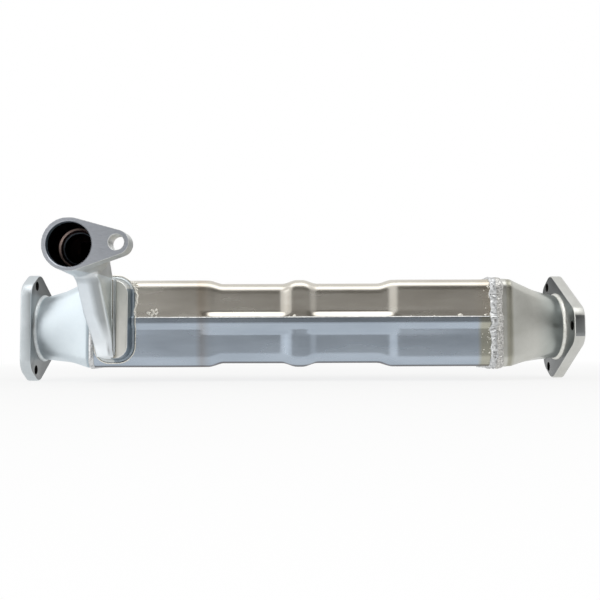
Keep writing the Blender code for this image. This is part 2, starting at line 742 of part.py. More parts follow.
def wall_pad(x_low, x_high, back_y, thickness, draft):
    """A raised pad with rounded corners; a negative thickness faces -Y."""
    width = (x_high - x_low) / 2
    height = (PAD_TOP - PAD_BOTTOM) / 2
    middle_x = (x_low + x_high) / 2
    middle_z = (PAD_TOP + PAD_BOTTOM) / 2
    outline = rounded_rectangle(width, height, PAD_ROUNDING)
    base = [(middle_x + (width + draft) / width * x, back_y, middle_z + z * (height + draft) / height)
            for x, z in outline]
    front = [(middle_x + x, back_y + thickness, middle_z + z) for x, z in outline]
    bm = bmesh.new()
    loft(bm, [base, front])
    return bm


def lip_groove(bm, x_low, x_high, side):
    """Relief behind a pad for the lower shell's lip; side is -1 front, +1 back."""
    reach = LIP_OFFSET + GAP
    low_y, high_y = sorted((side * (BODY_HALF_WIDTH - reach), side * (BODY_HALF_WIDTH + reach)))
    past = PAD_ROUNDING
    foot = JOINT_Z - LIP_HEIGHT - LIP_JOGGLE - 2 * GAP
    box(bm, (x_low - past, low_y, foot), (x_high + past, high_y, JOINT_Z + 2 * GAP))


def coolant_inlet(material):
    """One casting: port flange, boss, sloping duct and the pad on the body."""
    plate_mesh, ear = port_plate()
    casting = finish("coolant_inlet_casting", plate_mesh, material)
    combine(casting, hidden("casting_boss", port_boss()), "UNION")
    combine(casting, hidden("casting_duct", port_duct(0.0)), "UNION")
    pad = wall_pad(PAD_LEFT, PAD_RIGHT, PAD_BACK, -PAD_THICKNESS, PAD_DRAFT)
    combine(casting, hidden("casting_pad", pad), "UNION")

    bore = bmesh.new()
    seat = PORT_BORE_RADIUS - PORT_BORE_DRAFT
    past = EAR_THICKNESS
    profile = [
        (0, -past),
        (PORT_BORE_RADIUS, -past),
        (PORT_BORE_RADIUS, 0),
        (seat, PORT_SEAT_DEPTH),
        (seat - SEAT_STEP, PORT_SEAT_DEPTH),
        (seat - SEAT_STEP, PORT_SEAT_DEPTH + SEAT_STEP),
        (PORT_PASSAGE_RADIUS, PORT_SEAT_DEPTH + SEAT_STEP),
        (PORT_PASSAGE_RADIUS, BOSS_LENGTH - DUCT_WALL),
        (0, BOSS_LENGTH - DUCT_WALL),
    ]
    turned(bore, profile, (PORT_X, PORT_FACE, PORT_HEIGHT), (0, 1, 0), ROUND_STEPS)
    combine(casting, hidden("casting_bore", bore), "DIFFERENCE")
    combine(casting, hidden("casting_passage", port_duct(DUCT_WALL)), "DIFFERENCE")

    ways = bmesh.new()
    window_box(ways, PAD_LEFT, PAD_RIGHT, PAD_FRONT + WINDOW_COVER, BODY_FRONT + PAD_ROUNDING)
    rod(
        ways,
        EAR_HOLE_RADIUS,
        (ear.x, PORT_FACE - past, ear.y),
        (ear.x, PORT_FACE + 2 * past, ear.y),
        HOLE_STEPS + ARC_STEPS * 2,
    )
    combine(casting, hidden("casting_ways", ways), "DIFFERENCE")
    groove = bmesh.new()
    lip_groove(groove, PAD_LEFT, PAD_RIGHT, -1)
    combine(casting, hidden("casting_groove", groove), "DIFFERENCE")
    return casting


def spigot_pad_edges():
    half = SPIGOT_RADIUS + SPIGOT_PAD_MARGIN
    return SPIGOT_X - half, SPIGOT_X + half


def coolant_outlet(material):
    """A hose spigot on its own pad, on the back of the body."""
    low_x, high_x = spigot_pad_edges()
    back_y = BODY_HALF_WIDTH + GAP
    spigot = finish(
        "coolant_outlet_spigot",
        wall_pad(low_x, high_x, back_y, SPIGOT_PAD_THICKNESS, PAD_DRAFT / 2),
        material,
    )
    centre_z = (PAD_TOP + PAD_BOTTOM) / 2
    root = SPIGOT_PAD_THICKNESS / 2
    tip = SPIGOT_PAD_THICKNESS + SPIGOT_LENGTH
    bead_at = tip - SPIGOT_RADIUS / 3
    bead = SPIGOT_RADIUS + SPIGOT_BEAD
    half_bead = 1.5 * SPIGOT_BEAD
    foot = SPIGOT_PAD_THICKNESS + SPIGOT_WALL
    profile = [
        (0, root),
        (SPIGOT_RADIUS + SPIGOT_WALL, root),
        (SPIGOT_RADIUS + SPIGOT_WALL, SPIGOT_PAD_THICKNESS + SPIGOT_WALL / 3),
        (SPIGOT_RADIUS + SPIGOT_WALL / 3, foot - SPIGOT_WALL / 3),
        (SPIGOT_RADIUS, foot + SPIGOT_WALL / 3),
        (SPIGOT_RADIUS, bead_at - half_bead),
        (bead, bead_at - half_bead / 3),
        (bead, bead_at + half_bead / 3),
        (SPIGOT_RADIUS, bead_at + half_bead),
        (SPIGOT_RADIUS, tip - SPIGOT_WALL / 3),
        (SPIGOT_RADIUS - SPIGOT_WALL / 3, tip),
        (0, tip),
    ]
    tube = bmesh.new()
    turned(tube, profile, (SPIGOT_X, back_y, centre_z), (0, 1, 0), ROUND_STEPS)
    combine(spigot, hidden("spigot_tube", tube), "UNION")
    ways = bmesh.new()
    start = (SPIGOT_X, BODY_HALF_WIDTH - PAD_ROUNDING, centre_z)
    end = (SPIGOT_X, back_y + tip + PAD_ROUNDING, centre_z)
    rod(ways, SPIGOT_RADIUS - SPIGOT_WALL, start, end, ROUND_STEPS)
    combine(spigot, hidden("spigot_bore", ways), "DIFFERENCE")
    groove = bmesh.new()
    lip_groove(groove, low_x, high_x, 1)
    combine(spigot, hidden("spigot_groove", groove), "DIFFERENCE")
    return spigot


def shell_windows():
    """Cutter for both ways from the coolant fittings into the jacket."""
    bm = bmesh.new()
    inner = BODY_HALF_WIDTH - SHELL_THICKNESS - RECESS_DEPTH
    outer = BODY_HALF_WIDTH + LIP_OFFSET + PAD_ROUNDING
    window_box(bm, PAD_LEFT, PAD_RIGHT, -outer, -inner)
    centre_z = (PAD_TOP + PAD_BOTTOM) / 2
    start = (SPIGOT_X, inner, centre_z)
    rod(bm, SPIGOT_RADIUS - SPIGOT_WALL, start, (SPIGOT_X, outer, centre_z), ROUND_STEPS)
    return hidden("shell_windows", bm)


def build():
    clear_scene()
    cast = steel("cast_steel", (0.56, 0.58, 0.60), 0.42)
    pressed = steel("pressed_steel", (0.62, 0.66, 0.69), 0.34)
    shell = steel("shell_steel", (0.50, 0.51, 0.51), 0.38)
    weld = steel("weld_metal", (0.72, 0.73, 0.74), 0.45)
    tube = steel("tube_steel", (0.46, 0.44, 0.42), 0.35)
    fin = steel("fin_steel", (0.52, 0.50, 0.47), 0.30)

    gas_flange("inlet_gas_flange", 0.0, 1, 1, cast)
    gas_flange("outlet_gas_flange", OVERALL_LENGTH, -1, -1, cast)
    gas_cone("inlet_cone", 0.0, SHELL_START, INLET_COLLAR, pressed)
    gas_cone("outlet_cone", OVERALL_LENGTH, SHELL_END, OUTLET_COLLAR, pressed)

    windows = shell_windows()
    body_shell("upper_shell", True, windows, shell)
    body_shell("lower_shell", False, windows, shell)
    weld_bead("inlet_weld_bead", SHELL_START, INLET_BEAD_WIDTH, INLET_BEAD_HEIGHT, weld)
    weld_bead("outlet_weld_bead", SHELL_END, OUTLET_BEAD_WIDTH, OUTLET_BEAD_HEIGHT, weld)

    cutter = bundle_cutter()
    tube_plate("inlet_tube_plate", INLET_PLATE_X, 1, cutter, tube)
    tube_plate("outlet_tube_plate", OUTLET_PLATE_X, -1, cutter, tube)
    supports = (
        (FIRST_BAND[0] + FIRST_BAND[1]) / 2,
        (FIRST_BAND[1] + SECOND_BAND[0]) / 2,
        (SECOND_BAND[0] + SECOND_BAND[1]) / 2,
    )
    for k, x in enumerate(supports):
        tube_support(f"tube_support_{k + 1}", x, 1 if k % 2 else -1, cutter, tube)
    for k, centre_z in enumerate(tube_centres()):
        gas_tube(f"gas_tube_{k + 1}", centre_z, tube)
        tube_fin(f"tube_fin_{k + 1}", centre_z, fin)

    coolant_inlet(cast)
    coolant_outlet(cast)


build()
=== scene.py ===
"""The dressed exhaust gas recirculation cooler: its visible pieces, steel finishes, light and camera.

X runs along the gas axis from the inlet flange's face, -Y faces the camera, Z is up, in metres.
The pressed, welded and cast outer pieces are remade here in finer form over their CAD nodes.
The tube bundle inside keeps its CAD nodes.
"""

import math
import random

import bmesh
import bpy
from mathutils import Matrix, Vector, noise


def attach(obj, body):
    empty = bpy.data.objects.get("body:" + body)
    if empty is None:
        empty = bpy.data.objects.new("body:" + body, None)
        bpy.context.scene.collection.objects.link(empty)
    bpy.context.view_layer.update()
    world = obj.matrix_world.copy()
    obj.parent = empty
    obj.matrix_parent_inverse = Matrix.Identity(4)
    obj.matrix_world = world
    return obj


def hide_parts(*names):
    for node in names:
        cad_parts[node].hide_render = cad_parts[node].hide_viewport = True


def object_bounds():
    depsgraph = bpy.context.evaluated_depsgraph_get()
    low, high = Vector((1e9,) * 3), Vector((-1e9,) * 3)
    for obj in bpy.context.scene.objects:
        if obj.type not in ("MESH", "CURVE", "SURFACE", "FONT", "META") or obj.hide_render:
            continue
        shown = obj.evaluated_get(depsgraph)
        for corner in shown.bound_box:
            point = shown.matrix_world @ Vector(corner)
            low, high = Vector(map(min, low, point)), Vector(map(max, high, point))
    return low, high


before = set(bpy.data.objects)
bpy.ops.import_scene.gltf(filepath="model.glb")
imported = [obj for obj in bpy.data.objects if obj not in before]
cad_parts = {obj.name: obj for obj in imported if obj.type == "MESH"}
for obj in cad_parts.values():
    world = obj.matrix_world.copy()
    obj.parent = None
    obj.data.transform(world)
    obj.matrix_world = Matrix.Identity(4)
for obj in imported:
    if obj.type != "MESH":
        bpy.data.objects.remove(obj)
cad_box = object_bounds()

# Sizes shared with the CAD, in metres
GAP = 0.0003
OVERALL_LENGTH = 0.568
FLANGE_THICKNESS = 0.011
BOLT_CIRCLE_RADIUS = 0.050
BOLT_HOLE_RADIUS = 0.0045
CORNER_REACH = 0.0575
SIDE_DISTANCE = 0.0425
CORNER_ROUNDING = 0.016
NECK_SOCKET_DEPTH = 0.006
NECK_RADIUS = 0.031
SHEET = 0.002
NECK_STRAIGHT = 0.0010
NECK_SWELL = 0.0024
SHELL_START = 0.072
SHELL_END = 0.4835
INLET_COLLAR = 0.005
OUTLET_COLLAR = 0.0155
BODY_HALF_WIDTH = 0.043
BODY_HALF_HEIGHT = 0.0446
BODY_RISE = 0.0037
BODY_CORNER_RADIUS = 0.0105
RECESS_DEPTH = 0.0036
RECESS_SLOPE = 0.006
SIDE_BANDS = ((0.1816, 0.2778), (0.2892, 0.3868))
FLAT_BANDS = ((0.1896, 0.2813), (0.2857, 0.3788))
BAND_RAMP = 0.016
JOINT_Z = 0.0095
LIP_HEIGHT = 0.006
LIP_JOGGLE = 0.005
LIP_OFFSET = SHEET + GAP
SEAM_MARGIN = 0.0004
PORT_FACE = -0.146
PORT_X = 0.0795
PORT_HEIGHT = 0.072
PORT_OUTER_RADIUS = 0.024
PORT_BORE_RADIUS = 0.0203
PORT_SEAT_RADIUS = 0.0187
PORT_SEAT_DEPTH = 0.034
PORT_PASSAGE_RADIUS = 0.0142
PORT_CHAMFER = 0.0009
PORT_LEAD_DEPTH = 0.0065
BOSS_LENGTH = 0.057
BOSS_DRAFT = 0.0022
BOSS_FILLET = 0.0064
EAR_SPACING = 0.0424
EAR_RISE = 0.0015
EAR_RADIUS = 0.0112
EAR_HOLE_RADIUS = 0.00695
EAR_THICKNESS = 0.020
EAR_EDGE = 0.0006
DUCT_LEFT = 0.0719
DUCT_RIGHT = 0.096
DUCT_WALL = 0.0035
DUCT_RIGHT_ROUNDING = 0.0065
DUCT_CHEEK_WIDTH = 0.0135
DUCT_CHEEK_DROP = 0.0060
DUCT_CHEEK_ROUNDING = 0.014
PASSAGE_ROUNDINGS = (0.010, 0.006)
DUCT_SLOPE = 0.83
DUCT_BLEND = 0.006
DUCT_ROOT_BELOW_AXIS = 0.011
DUCT_BACK_LEAN = 0.73
DUCT_ROOT_DEPTH = 0.0072
DUCT_FOOT_TOP = 0.012
DUCT_FOOT_MARGIN = 0.0012
DUCT_FOOT_PROUD = 0.0034
PAD_LEFT = 0.081
PAD_RIGHT = 0.112
PAD_BACK = -0.0433
PAD_FRONT = -0.0563
PAD_TOP = 0.047
PAD_BOTTOM = -0.031
PAD_CORNERS = (0.0125, 0.0140, 0.0100, 0.0100)
SPIGOT_PAD_CORNERS = (0.010,) * 4
PAD_DRAFT = 0.0022
WINDOW_FRAME = 0.0055
WINDOW_COVER = 0.0025
SPIGOT_X = 0.4375
SPIGOT_RADIUS = 0.0175
SPIGOT_WALL = 0.003
SPIGOT_LENGTH = 0.038
SPIGOT_BEAD = 0.0016
SPIGOT_PAD_THICKNESS = 0.008
SPIGOT_PAD_HALF = 0.026
FLANGE_RIM = 0.0014
CUT_PAST = 0.004
MIDDLE_Z = (PAD_TOP + PAD_BOTTOM) / 2

BODY_MIDDLE = Vector(((SHELL_START + SHELL_END) / 2, 0.0, BODY_RISE))
PORT_CENTRE = (PORT_X, PORT_FACE, PORT_HEIGHT)
EAR = (PORT_X + EAR_SPACING, PORT_HEIGHT + EAR_RISE)


# Finishes


def steel_colour(code):
    """An sRGB hex colour as linear values."""
    parts = [int(code[i:i + 2], 16) / 255 for i in (1, 3, 5)]
    linear = [p / 12.92 if p <= 0.04045 else ((p + 0.055) / 1.055) ** 2.4 for p in parts]
    return (*linear, 1.0)


def add(tree, kind, links=None, values=None, stops=None, **settings):
    """Add one node with its settings, values and links; stops are a colour ramp's (place, colour)."""
    node = tree.nodes.new(kind)
    for key, value in settings.items():
        setattr(node, key, value)
    for key, value in (values or {}).items():
        node.inputs[key].default_value = value
    for key, source in (links or {}).items():
        tree.links.new(source, node.inputs[key])
    for k, (place, colour) in enumerate(stops or ()):
        if k >= 2:
            node.color_ramp.elements.new(place)
        node.color_ramp.elements[k].position = place
        node.color_ramp.elements[k].color = colour
    return node


CLEAN = ((0.0, "#FFFFFF"), (1.0, "#FFFFFF"))


def grey(value):
    return (value, value, value, 1.0)


def uneven(tree, place, scale, detail, roughness, stops):
    """A pattern with so many features per metre, and the tone its (share, colour) stops give it."""
    pattern = add(
        tree, "ShaderNodeTexNoise", {"Vector": place},
        {"Scale": scale, "Detail": detail, "Roughness": roughness},
    ).outputs["Fac"]
    tone = add(
        tree, "ShaderNodeValToRGB", {"Fac": pattern},
        stops=[(share, steel_colour(code)) for share, code in stops],
    ).outputs["Color"]
    return pattern, tone


def new_steel(name, roughness=0.4, metal=1.0):
    """An empty metal finish: its material, its nodes, its shader and its Object coordinates."""
    material = bpy.data.materials.new(name)
    material.use_nodes = True
    tree = material.node_tree
    shader = tree.nodes["Principled BSDF"]
    shader.inputs["Metallic"].default_value = metal
    shader.inputs["Roughness"].default_value = roughness
    return material, tree, shader, add(tree, "ShaderNodeTexCoord").outputs["Object"]


def stained_and_shaded_along(tree, place, tone, stains_and_shade):
    """A tone multiplied by heat stains and painted shade along X, each a (place, colour) stop."""
    spot = add(tree, "ShaderNodeSeparateXYZ", {"Vector": place})
    along = add(
        tree, "ShaderNodeMapRange", {"Value": spot.outputs["X"]},
        {"From Min": 0.0, "From Max": OVERALL_LENGTH},
    )
    stain_and_shade = add(
        tree, "ShaderNodeValToRGB", {"Fac": along.outputs["Result"]},
        stops=[(x / OVERALL_LENGTH, steel_colour(code)) for x, code in stains_and_shade],
    )
    return add(
        tree, "ShaderNodeMix", {"A": tone, "B": stain_and_shade.outputs["Color"]}, {"Factor": 1.0},
        data_type="RGBA", blend_type="MULTIPLY",
    ).outputs["Result"]


def painted_shading_by_facing(tree, place, tone, painted_facing_stops):
    """Painted shade and highlight on a tone: (normal's X, colour) stops by where the normal points,
    multiplied on the middle heights of the duct.
    """
    normal = add(
        tree, "ShaderNodeSeparateXYZ", {"Vector": add(tree, "ShaderNodeNewGeometry").outputs["Normal"]},
    )
    turn = add(
        tree, "ShaderNodeMapRange", {"Value": normal.outputs["X"]}, {"From Min": -1.0, "From Max": 1.0},
    )
    facing_shade = add(
        tree, "ShaderNodeValToRGB", {"Fac": turn.outputs["Result"]},
        stops=[((x + 1) / 2, steel_colour(code)) for x, code in painted_facing_stops],
    )
    spot = add(tree, "ShaderNodeSeparateXYZ", {"Vector": place})
    height = add(
        tree, "ShaderNodeMapRange", {"Value": spot.outputs["Z"]},
        {"From Min": PAD_BOTTOM, "From Max": PORT_HEIGHT},
    )
    middle = add(
        tree, "ShaderNodeValToRGB", {"Fac": height.outputs["Result"]},
        stops=((0.16, grey(0.0)), (0.36, grey(1.0)), (0.70, grey(1.0)), (0.80, grey(0.0))),
    )
    return add(
        tree, "ShaderNodeMix",
        {"Factor": middle.outputs["Color"], "A": tone, "B": facing_shade.outputs["Color"]},
        data_type="RGBA", blend_type="MULTIPLY",
    ).outputs["Result"]


def blasted_steel(name, light, dark, rough, grain_mm, skin, stains_and_shade=CLEAN, painted_facing_stops=()):
    """Stainless steel blasted with glass beads: pale, even, with a fine dull grain.

    Clouds 25 mm across change its tone a little, handling has rubbed its edges bright, and
    skin is how much of a mould's 4 mm unevenness is left under the grain. Its stops along X
    multiply in heat stains and painted shade, and its facing stops paint shade and highlight
    by where the normal points.
    """
    material, tree, shader, place = new_steel(name)
    clouds, tone = uneven(tree, place, 1000 / 25, 5.0, 0.62, ((0.34, dark), (0.66, light)))
    tone = stained_and_shaded_along(tree, place, tone, stains_and_shade)
    if painted_facing_stops:
        tone = painted_shading_by_facing(tree, place, tone, painted_facing_stops)
    edge = add(tree, "ShaderNodeNewGeometry").outputs["Pointiness"]
    wear = add(
        tree, "ShaderNodeValToRGB", {"Fac": edge}, stops=((0.51, grey(0.0)), (0.64, grey(1.0))),
    ).outputs["Color"]
    rubbed = add(
        tree, "ShaderNodeMix", {"Factor": wear, "A": tone}, {"B": steel_colour("#EDEEEC")},
        data_type="RGBA",
    )
    tree.links.new(rubbed.outputs["Result"], shader.inputs["Base Color"])
    dull = add(
        tree, "ShaderNodeMapRange", {"Value": clouds},
        {"From Min": 0.3, "From Max": 0.7, "To Min": rough - 0.04, "To Max": rough + 0.06},
    )
    tree.links.new(dull.outputs["Result"], shader.inputs["Roughness"])
    mould = add(
        tree, "ShaderNodeTexNoise", {"Vector": place},
        {"Scale": 1000 / 4, "Detail": 4.0, "Roughness": 0.55},
    ).outputs["Fac"]
    wave = add(
        tree, "ShaderNodeBump", {"Height": mould}, {"Strength": skin, "Distance": 0.0006},
    )
    grain = add(
        tree, "ShaderNodeTexNoise", {"Vector": place},
        {"Scale": 1000 / grain_mm, "Detail": 3.0, "Roughness": 0.6},
    ).outputs["Fac"]
    bump = add(
        tree, "ShaderNodeBump", {"Height": grain, "Normal": wave.outputs["Normal"]},
        {"Strength": 0.15, "Distance": 0.00010},
    )
    tree.links.new(bump.outputs["Normal"], shader.inputs["Normal"])
    return material


def pressed_sheet_steel(name, light, dark, stains_and_shade, lip, foot):
    """Cold-rolled stainless sheet after pressing and pickling: smoother than the castings.

    Rolling leaves clouds of tone about 80 mm long and 20 mm high.
    lip is how dark the lip's face is, and foot how strongly the bottom corners that face down
    are darkened to brown as painted shade.
    """
    material, tree, shader, place = new_steel(name)
    drawn = add(
        tree, "ShaderNodeMapping", {"Vector": place}, {"Scale": (1000 / 80, 1000 / 20, 1000 / 20)},
    ).outputs["Vector"]
    clouds, tone = uneven(tree, drawn, 1.0, 3.0, 0.5, ((0.32, dark), (0.68, light)))
    spot = add(tree, "ShaderNodeSeparateXYZ", {"Vector": place})
    height = add(
        tree, "ShaderNodeMapRange", {"Value": spot.outputs["Z"]},
        {"From Min": JOINT_Z - 2 * LIP_HEIGHT, "From Max": JOINT_Z + 2 * LIP_HEIGHT},
    ).outputs["Result"]
    on_lip = add(
        tree, "ShaderNodeValToRGB", {"Fac": height},
        stops=((0.22, grey(0.0)), (0.27, grey(lip)), (0.48, grey(lip)), (0.50, grey(0.0))),
    ).outputs["Color"]
    shaded = add(
        tree, "ShaderNodeMix",
        {"Factor": on_lip, "A": stained_and_shaded_along(tree, place, tone, stains_and_shade)},
        {"B": steel_colour("#4A5058")}, data_type="RGBA",
    ).outputs["Result"]
    # Painted shade: faces that point down along the bottom corners are darkened towards brown.
    normal = add(
        tree, "ShaderNodeSeparateXYZ", {"Vector": add(tree, "ShaderNodeNewGeometry").outputs["Normal"]},
    )
    downwards = add(
        tree, "ShaderNodeMath", {0: normal.outputs["Z"]}, {1: -1.0}, operation="MULTIPLY",
    ).outputs["Value"]
    painted_shade_underneath = add(
        tree, "ShaderNodeValToRGB", {"Fac": downwards},
        stops=((0.76, grey(0.0)), (0.88, grey(foot)), (0.97, grey(foot)), (1.0, grey(foot / 3))),
    ).outputs["Color"]
    shaded_underneath = add(
        tree, "ShaderNodeMix", {"Factor": painted_shade_underneath, "A": shaded}, {"B": steel_colour("#3B2F27")},
        data_type="RGBA",
    )
    tree.links.new(shaded_underneath.outputs["Result"], shader.inputs["Base Color"])
    dull = add(
        tree, "ShaderNodeMapRange", {"Value": clouds},
        {"From Min": 0.3, "From Max": 0.7, "To Min": 0.24, "To Max": 0.29},
    )
    tree.links.new(dull.outputs["Result"], shader.inputs["Roughness"])
    return material


def weld_bead_metal(name, light, dark, slag, rough, crust_mm):
    """Solidified weld metal: bright crests, and slag as the share of dark specks in the hollows."""
    material, tree, shader, place = new_steel(name)
    hollow = 0.30 + 0.10 * slag
    crust, tone = uneven(
        tree, place, 1000 / crust_mm, 5.0, 0.65,
        ((hollow - 0.06, "#4A4644"), (hollow, dark), (0.60, light)),
    )
    tree.links.new(tone, shader.inputs["Base Color"])
    dull = add(
        tree, "ShaderNodeMapRange", {"Value": crust},
        {"From Min": 0.3, "From Max": 0.7, "To Min": rough + 0.16, "To Max": rough},
    )
    tree.links.new(dull.outputs["Result"], shader.inputs["Roughness"])
    bump = add(
        tree, "ShaderNodeBump", {"Height": crust}, {"Strength": 0.2 + 0.4 * slag, "Distance": 0.0005},
    )
    tree.links.new(bump.outputs["Normal"], shader.inputs["Normal"])
    return material


def machined_steel(name, light, dark, rough, metal=1.0):
    """A face milled or bored after casting: grey and flat, with tool marks 0.5 mm apart.

    Real marks are finer; these are drawn as coarse as the render can show.
    """
    material, tree, shader, place = new_steel(name, rough, metal)
    marks = add(
        tree, "ShaderNodeMapping", {"Vector": place}, {"Scale": (1000 / 4, 1000 / 4, 1000 / 0.5)},
    ).outputs["Vector"]
    cut_lines, tone = uneven(tree, marks, 1.0, 2.0, 0.5, ((0.3, dark), (0.7, light)))
    tree.links.new(tone, shader.inputs["Base Color"])
    bump = add(
        tree, "ShaderNodeBump", {"Height": cut_lines}, {"Strength": 0.12, "Distance": 0.00006},
    )
    tree.links.new(bump.outputs["Normal"], shader.inputs["Normal"])
    return material


def painted_shade_bore_steel():
    """The inside of the port and its passage, nearly black as painted shade, browner in patches of 6
    mm.
    """
    material, tree, shader, place = new_steel("bore_painted_shade_steel", 0.5)
    tone = uneven(tree, place, 1000 / 6, 4.0, 0.6, ((0.42, "#0D0A0A"), (0.78, "#2A1B19")))[1]
    tree.links.new(tone, shader.inputs["Base Color"])
    return material


cast_finish = blasted_steel("bead_blasted_cast_steel", "#D5D7D6", "#C8CAC8", 0.42, 0.9, 0.14)
# The duct is painted lighter than the casting, with painted light and shade by where its faces point:
# near white facing left, darker facing the front, pale again facing right.
duct_painted_shading_finish = blasted_steel(
    "bead_blasted_duct_painted_shading", "#EDF2F5", "#E0E6EA", 0.42, 0.9, 0.14,
    painted_facing_stops=((-0.30, "#FBFDFF"), (0.02, "#BCBDBD"), (0.50, "#B8B8B6"), (0.75, "#FFFFFA")),
)
# The pad's face is painted lighter than the casting, with painted shade in a stripe beside the duct.
pad_face_painted_shade_finish = blasted_steel(
    "bead_blasted_pad_face_painted_shade", "#EAEAE4", "#DFDFD9", 0.42, 0.9, 0.12,
    ((0.0965, "#8F8B83"), (0.0995, "#A5A29A"), (0.1030, "#FFFFFF"), (0.1120, "#FFFFFF")),
)
# The inlet sheet is tinted pale blue as painted cool light from the left, with painted shade towards
# its neck and on its collar.
inlet_cone_painted_shading_finish = blasted_steel(
    "bead_blasted_inlet_sheet_painted_shading", "#DEE7EC", "#D3DDE3", 0.46, 0.7, 0.05,
    ((0.0, "#E6EAED"), (0.022, "#FFFFFF"), (0.0665, "#FFFFFF"), (0.0672, "#D2D9DD")),
)
# The outlet sheet has a painted shade stripe on its collar beside the weld, and painted shade darkening
# towards its neck.
outlet_cone_painted_shade_finish = blasted_steel(
    "bead_blasted_outlet_sheet_painted_shade", "#CACAC4", "#BDBDB6", 0.32, 0.7, 0.05,
    (
        (0.4934, "#FFFFFF"), (0.4941, "#D6D4CA"), (0.4990, "#D6D4CA"), (0.4997, "#FFFFFF"),
        (0.525, "#FFFFFF"), (0.542, "#E6ECEE"), (0.553, "#D2DADE"),
    ),
)
flange_finish = blasted_steel("bead_blasted_flange_steel", "#C9C9C4", "#B9B9B3", 0.32, 0.8, 0.10)
# The inlet flange is tinted pale blue as painted cool light from the left.
inlet_flange_painted_light_finish = blasted_steel(
    "bead_blasted_inlet_flange_painted_light", "#C6CDD1", "#B7BFC3", 0.34, 0.8, 0.10,
)
# Painted shade on the flanges' inner faces and on one side wall of each.
flange_painted_shade_finish = blasted_steel("flange_face_painted_shade", "#7C7F80", "#6A6D6E", 0.34, 0.8, 0.10)
# Painted shade on the pad's side walls below its top corners.
pad_side_painted_shade_finish = blasted_steel("pad_side_painted_shade", "#98A4AD", "#87939D", 0.36, 0.9, 0.16)
# The upper shell's warm cream tone is painted light from above; its stops along X are heat stains.
upper_shell_painted_light_finish = pressed_sheet_steel(
    "upper_pressed_sheet_painted_light", "#D0CCC3", "#C2BDB3",
    (
        (0.1775, "#FFFFFF"), (0.1815, "#FCF6F0"), (0.1880, "#FEFAF6"), (0.1935, "#FFFFFF"),
        (0.460, "#FFFFFF"), (SHELL_END, "#FAF4EA"),
    ), 0.0, 0.0,
)
# The lower shell's cooler, darker blue-grey tone is painted shade; its stops along X are heat stains.
lower_shell_painted_shade_finish = pressed_sheet_steel(
    "lower_pressed_sheet_painted_shade", "#B5C0CC", "#A6B1BD",
    (
        (0.1775, "#FFFFFF"), (0.184, "#F2E9E2"), (0.1935, "#FFFFFF"), (0.4650, "#FFFFFF"),
        (0.4668, "#FFF0D2"), (SHELL_END, "#FCEBCB"),
    ), 0.34, 0.8,
)
rough_weld_finish = weld_bead_metal("rough_weld_metal", "#DAD9D5", "#A5A4A1", 0.6, 0.34, 1.8)
bright_weld_finish = weld_bead_metal("bright_weld_metal", "#DADBDB", "#AEB0B1", 0.3, 0.28, 2.6)
pale_weld_finish = weld_bead_metal("pale_weld_metal", "#CDD2D3", "#BEC4C6", 0.0, 0.42, 4.0)
cream_weld_finish = weld_bead_metal("cream_weld_metal", "#E6E6E0", "#D6D5CD", 0.0, 0.34, 4.0)
# Painted shade on the right side of the casting's pad weld, below its top corner.
pad_weld_painted_shade_finish = weld_bead_metal("weld_metal_painted_shade", "#96A1AA", "#7E8992", 0.1, 0.38, 2.0)
speck_finish = weld_bead_metal("spattered_weld_metal", "#F4F2EB", "#CFCBC0", 0.3, 0.32, 0.9)
milled_finish = machined_steel("milled_port_face", "#BDC1C8", "#B0B4BB", 0.36)
# Painted shade: the port's lead-in and passage step are dark slate and hardly metallic.
lead_in_painted_shade_finish = machined_steel("bored_lead_in_painted_shade", "#6A7782", "#505B65", 0.42, 0.15)
# Painted shade on the walls of the bolt holes.
bolt_hole_painted_shade_finish = machined_steel("bolt_hole_painted_shade", "#3C3A38", "#262423", 0.45)
bore_painted_shade_finish = painted_shade_bore_steel()
ring_finish = machined_steel("bored_seat_ring", "#D9C3BA", "#BFA398", 0.32)
tube_finish = machined_steel("brazed_tube_sheet", "#9A8F82", "#6E655C", 0.38)
fin_finish = machined_steel("thin_fin_foil", "#A79C8C", "#7C7166", 0.32)


# Making pieces


def new_object(name, bm):
    mesh = bpy.data.meshes.new(name)
    bm.to_mesh(mesh)
    bm.free()
    thing = bpy.data.objects.new(name, mesh)
    bpy.context.scene.collection.objects.link(thing)
    return thing


def settle(thing):
    """Make a piece's modifiers part of its mesh."""
    bpy.context.view_layer.update()
    shaped = thing.evaluated_get(bpy.context.evaluated_depsgraph_get())
    mesh = bpy.data.meshes.new_from_object(shaped)
    thing.modifiers.clear()
    old = thing.data
    thing.data = mesh
    bpy.data.meshes.remove(old)
    mesh.name = thing.name


def thicken(thing, even=False):
    """Give an open sheet its thickness inwards; even keeps it true round sharp folds."""
    wall = thing.modifiers.new("wall", "SOLIDIFY")
    wall.thickness = SHEET
    wall.offset = -1.0
    wall.use_even_offset = even
    settle(thing)


def machine(thing, tools):
    """Cut a piece with closed tools, which are used up."""
    for tool in tools:
        step = thing.modifiers.new("cut", "BOOLEAN")
        step.operation = "DIFFERENCE"
        step.solver = "EXACT"
        step.object = tool
    settle(thing)
    for tool in tools:
        bpy.data.objects.remove(tool, do_unlink=True)


def dress(thing, finishes, smooth_angle=35.0):
    """Give a finished piece its steel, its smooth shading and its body."""
    for finish in finishes:
        thing.data.materials.append(finish)
    thing.data.shade_smooth()
    thing.data.set_sharp_from_angle(angle=math.radians(smooth_angle))
    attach(thing, "root")
    return thing


def dressed_weld(name, bm, finishes):
    return dress(new_object(name, bm), finishes, 60.0)


def turn_outwards(bm, middle):
    """Point the faces of an open sheet away from the line along X through the middle."""
    bmesh.ops.recalc_face_normals(bm, faces=bm.faces)
    score = 0.0
    for face in bm.faces:
        arm = face.calc_center_median() - middle
        arm.x = 0.0
        score += face.normal.dot(arm) * face.calc_area()
    if score < 0:
        bmesh.ops.reverse_faces(bm, faces=bm.faces)


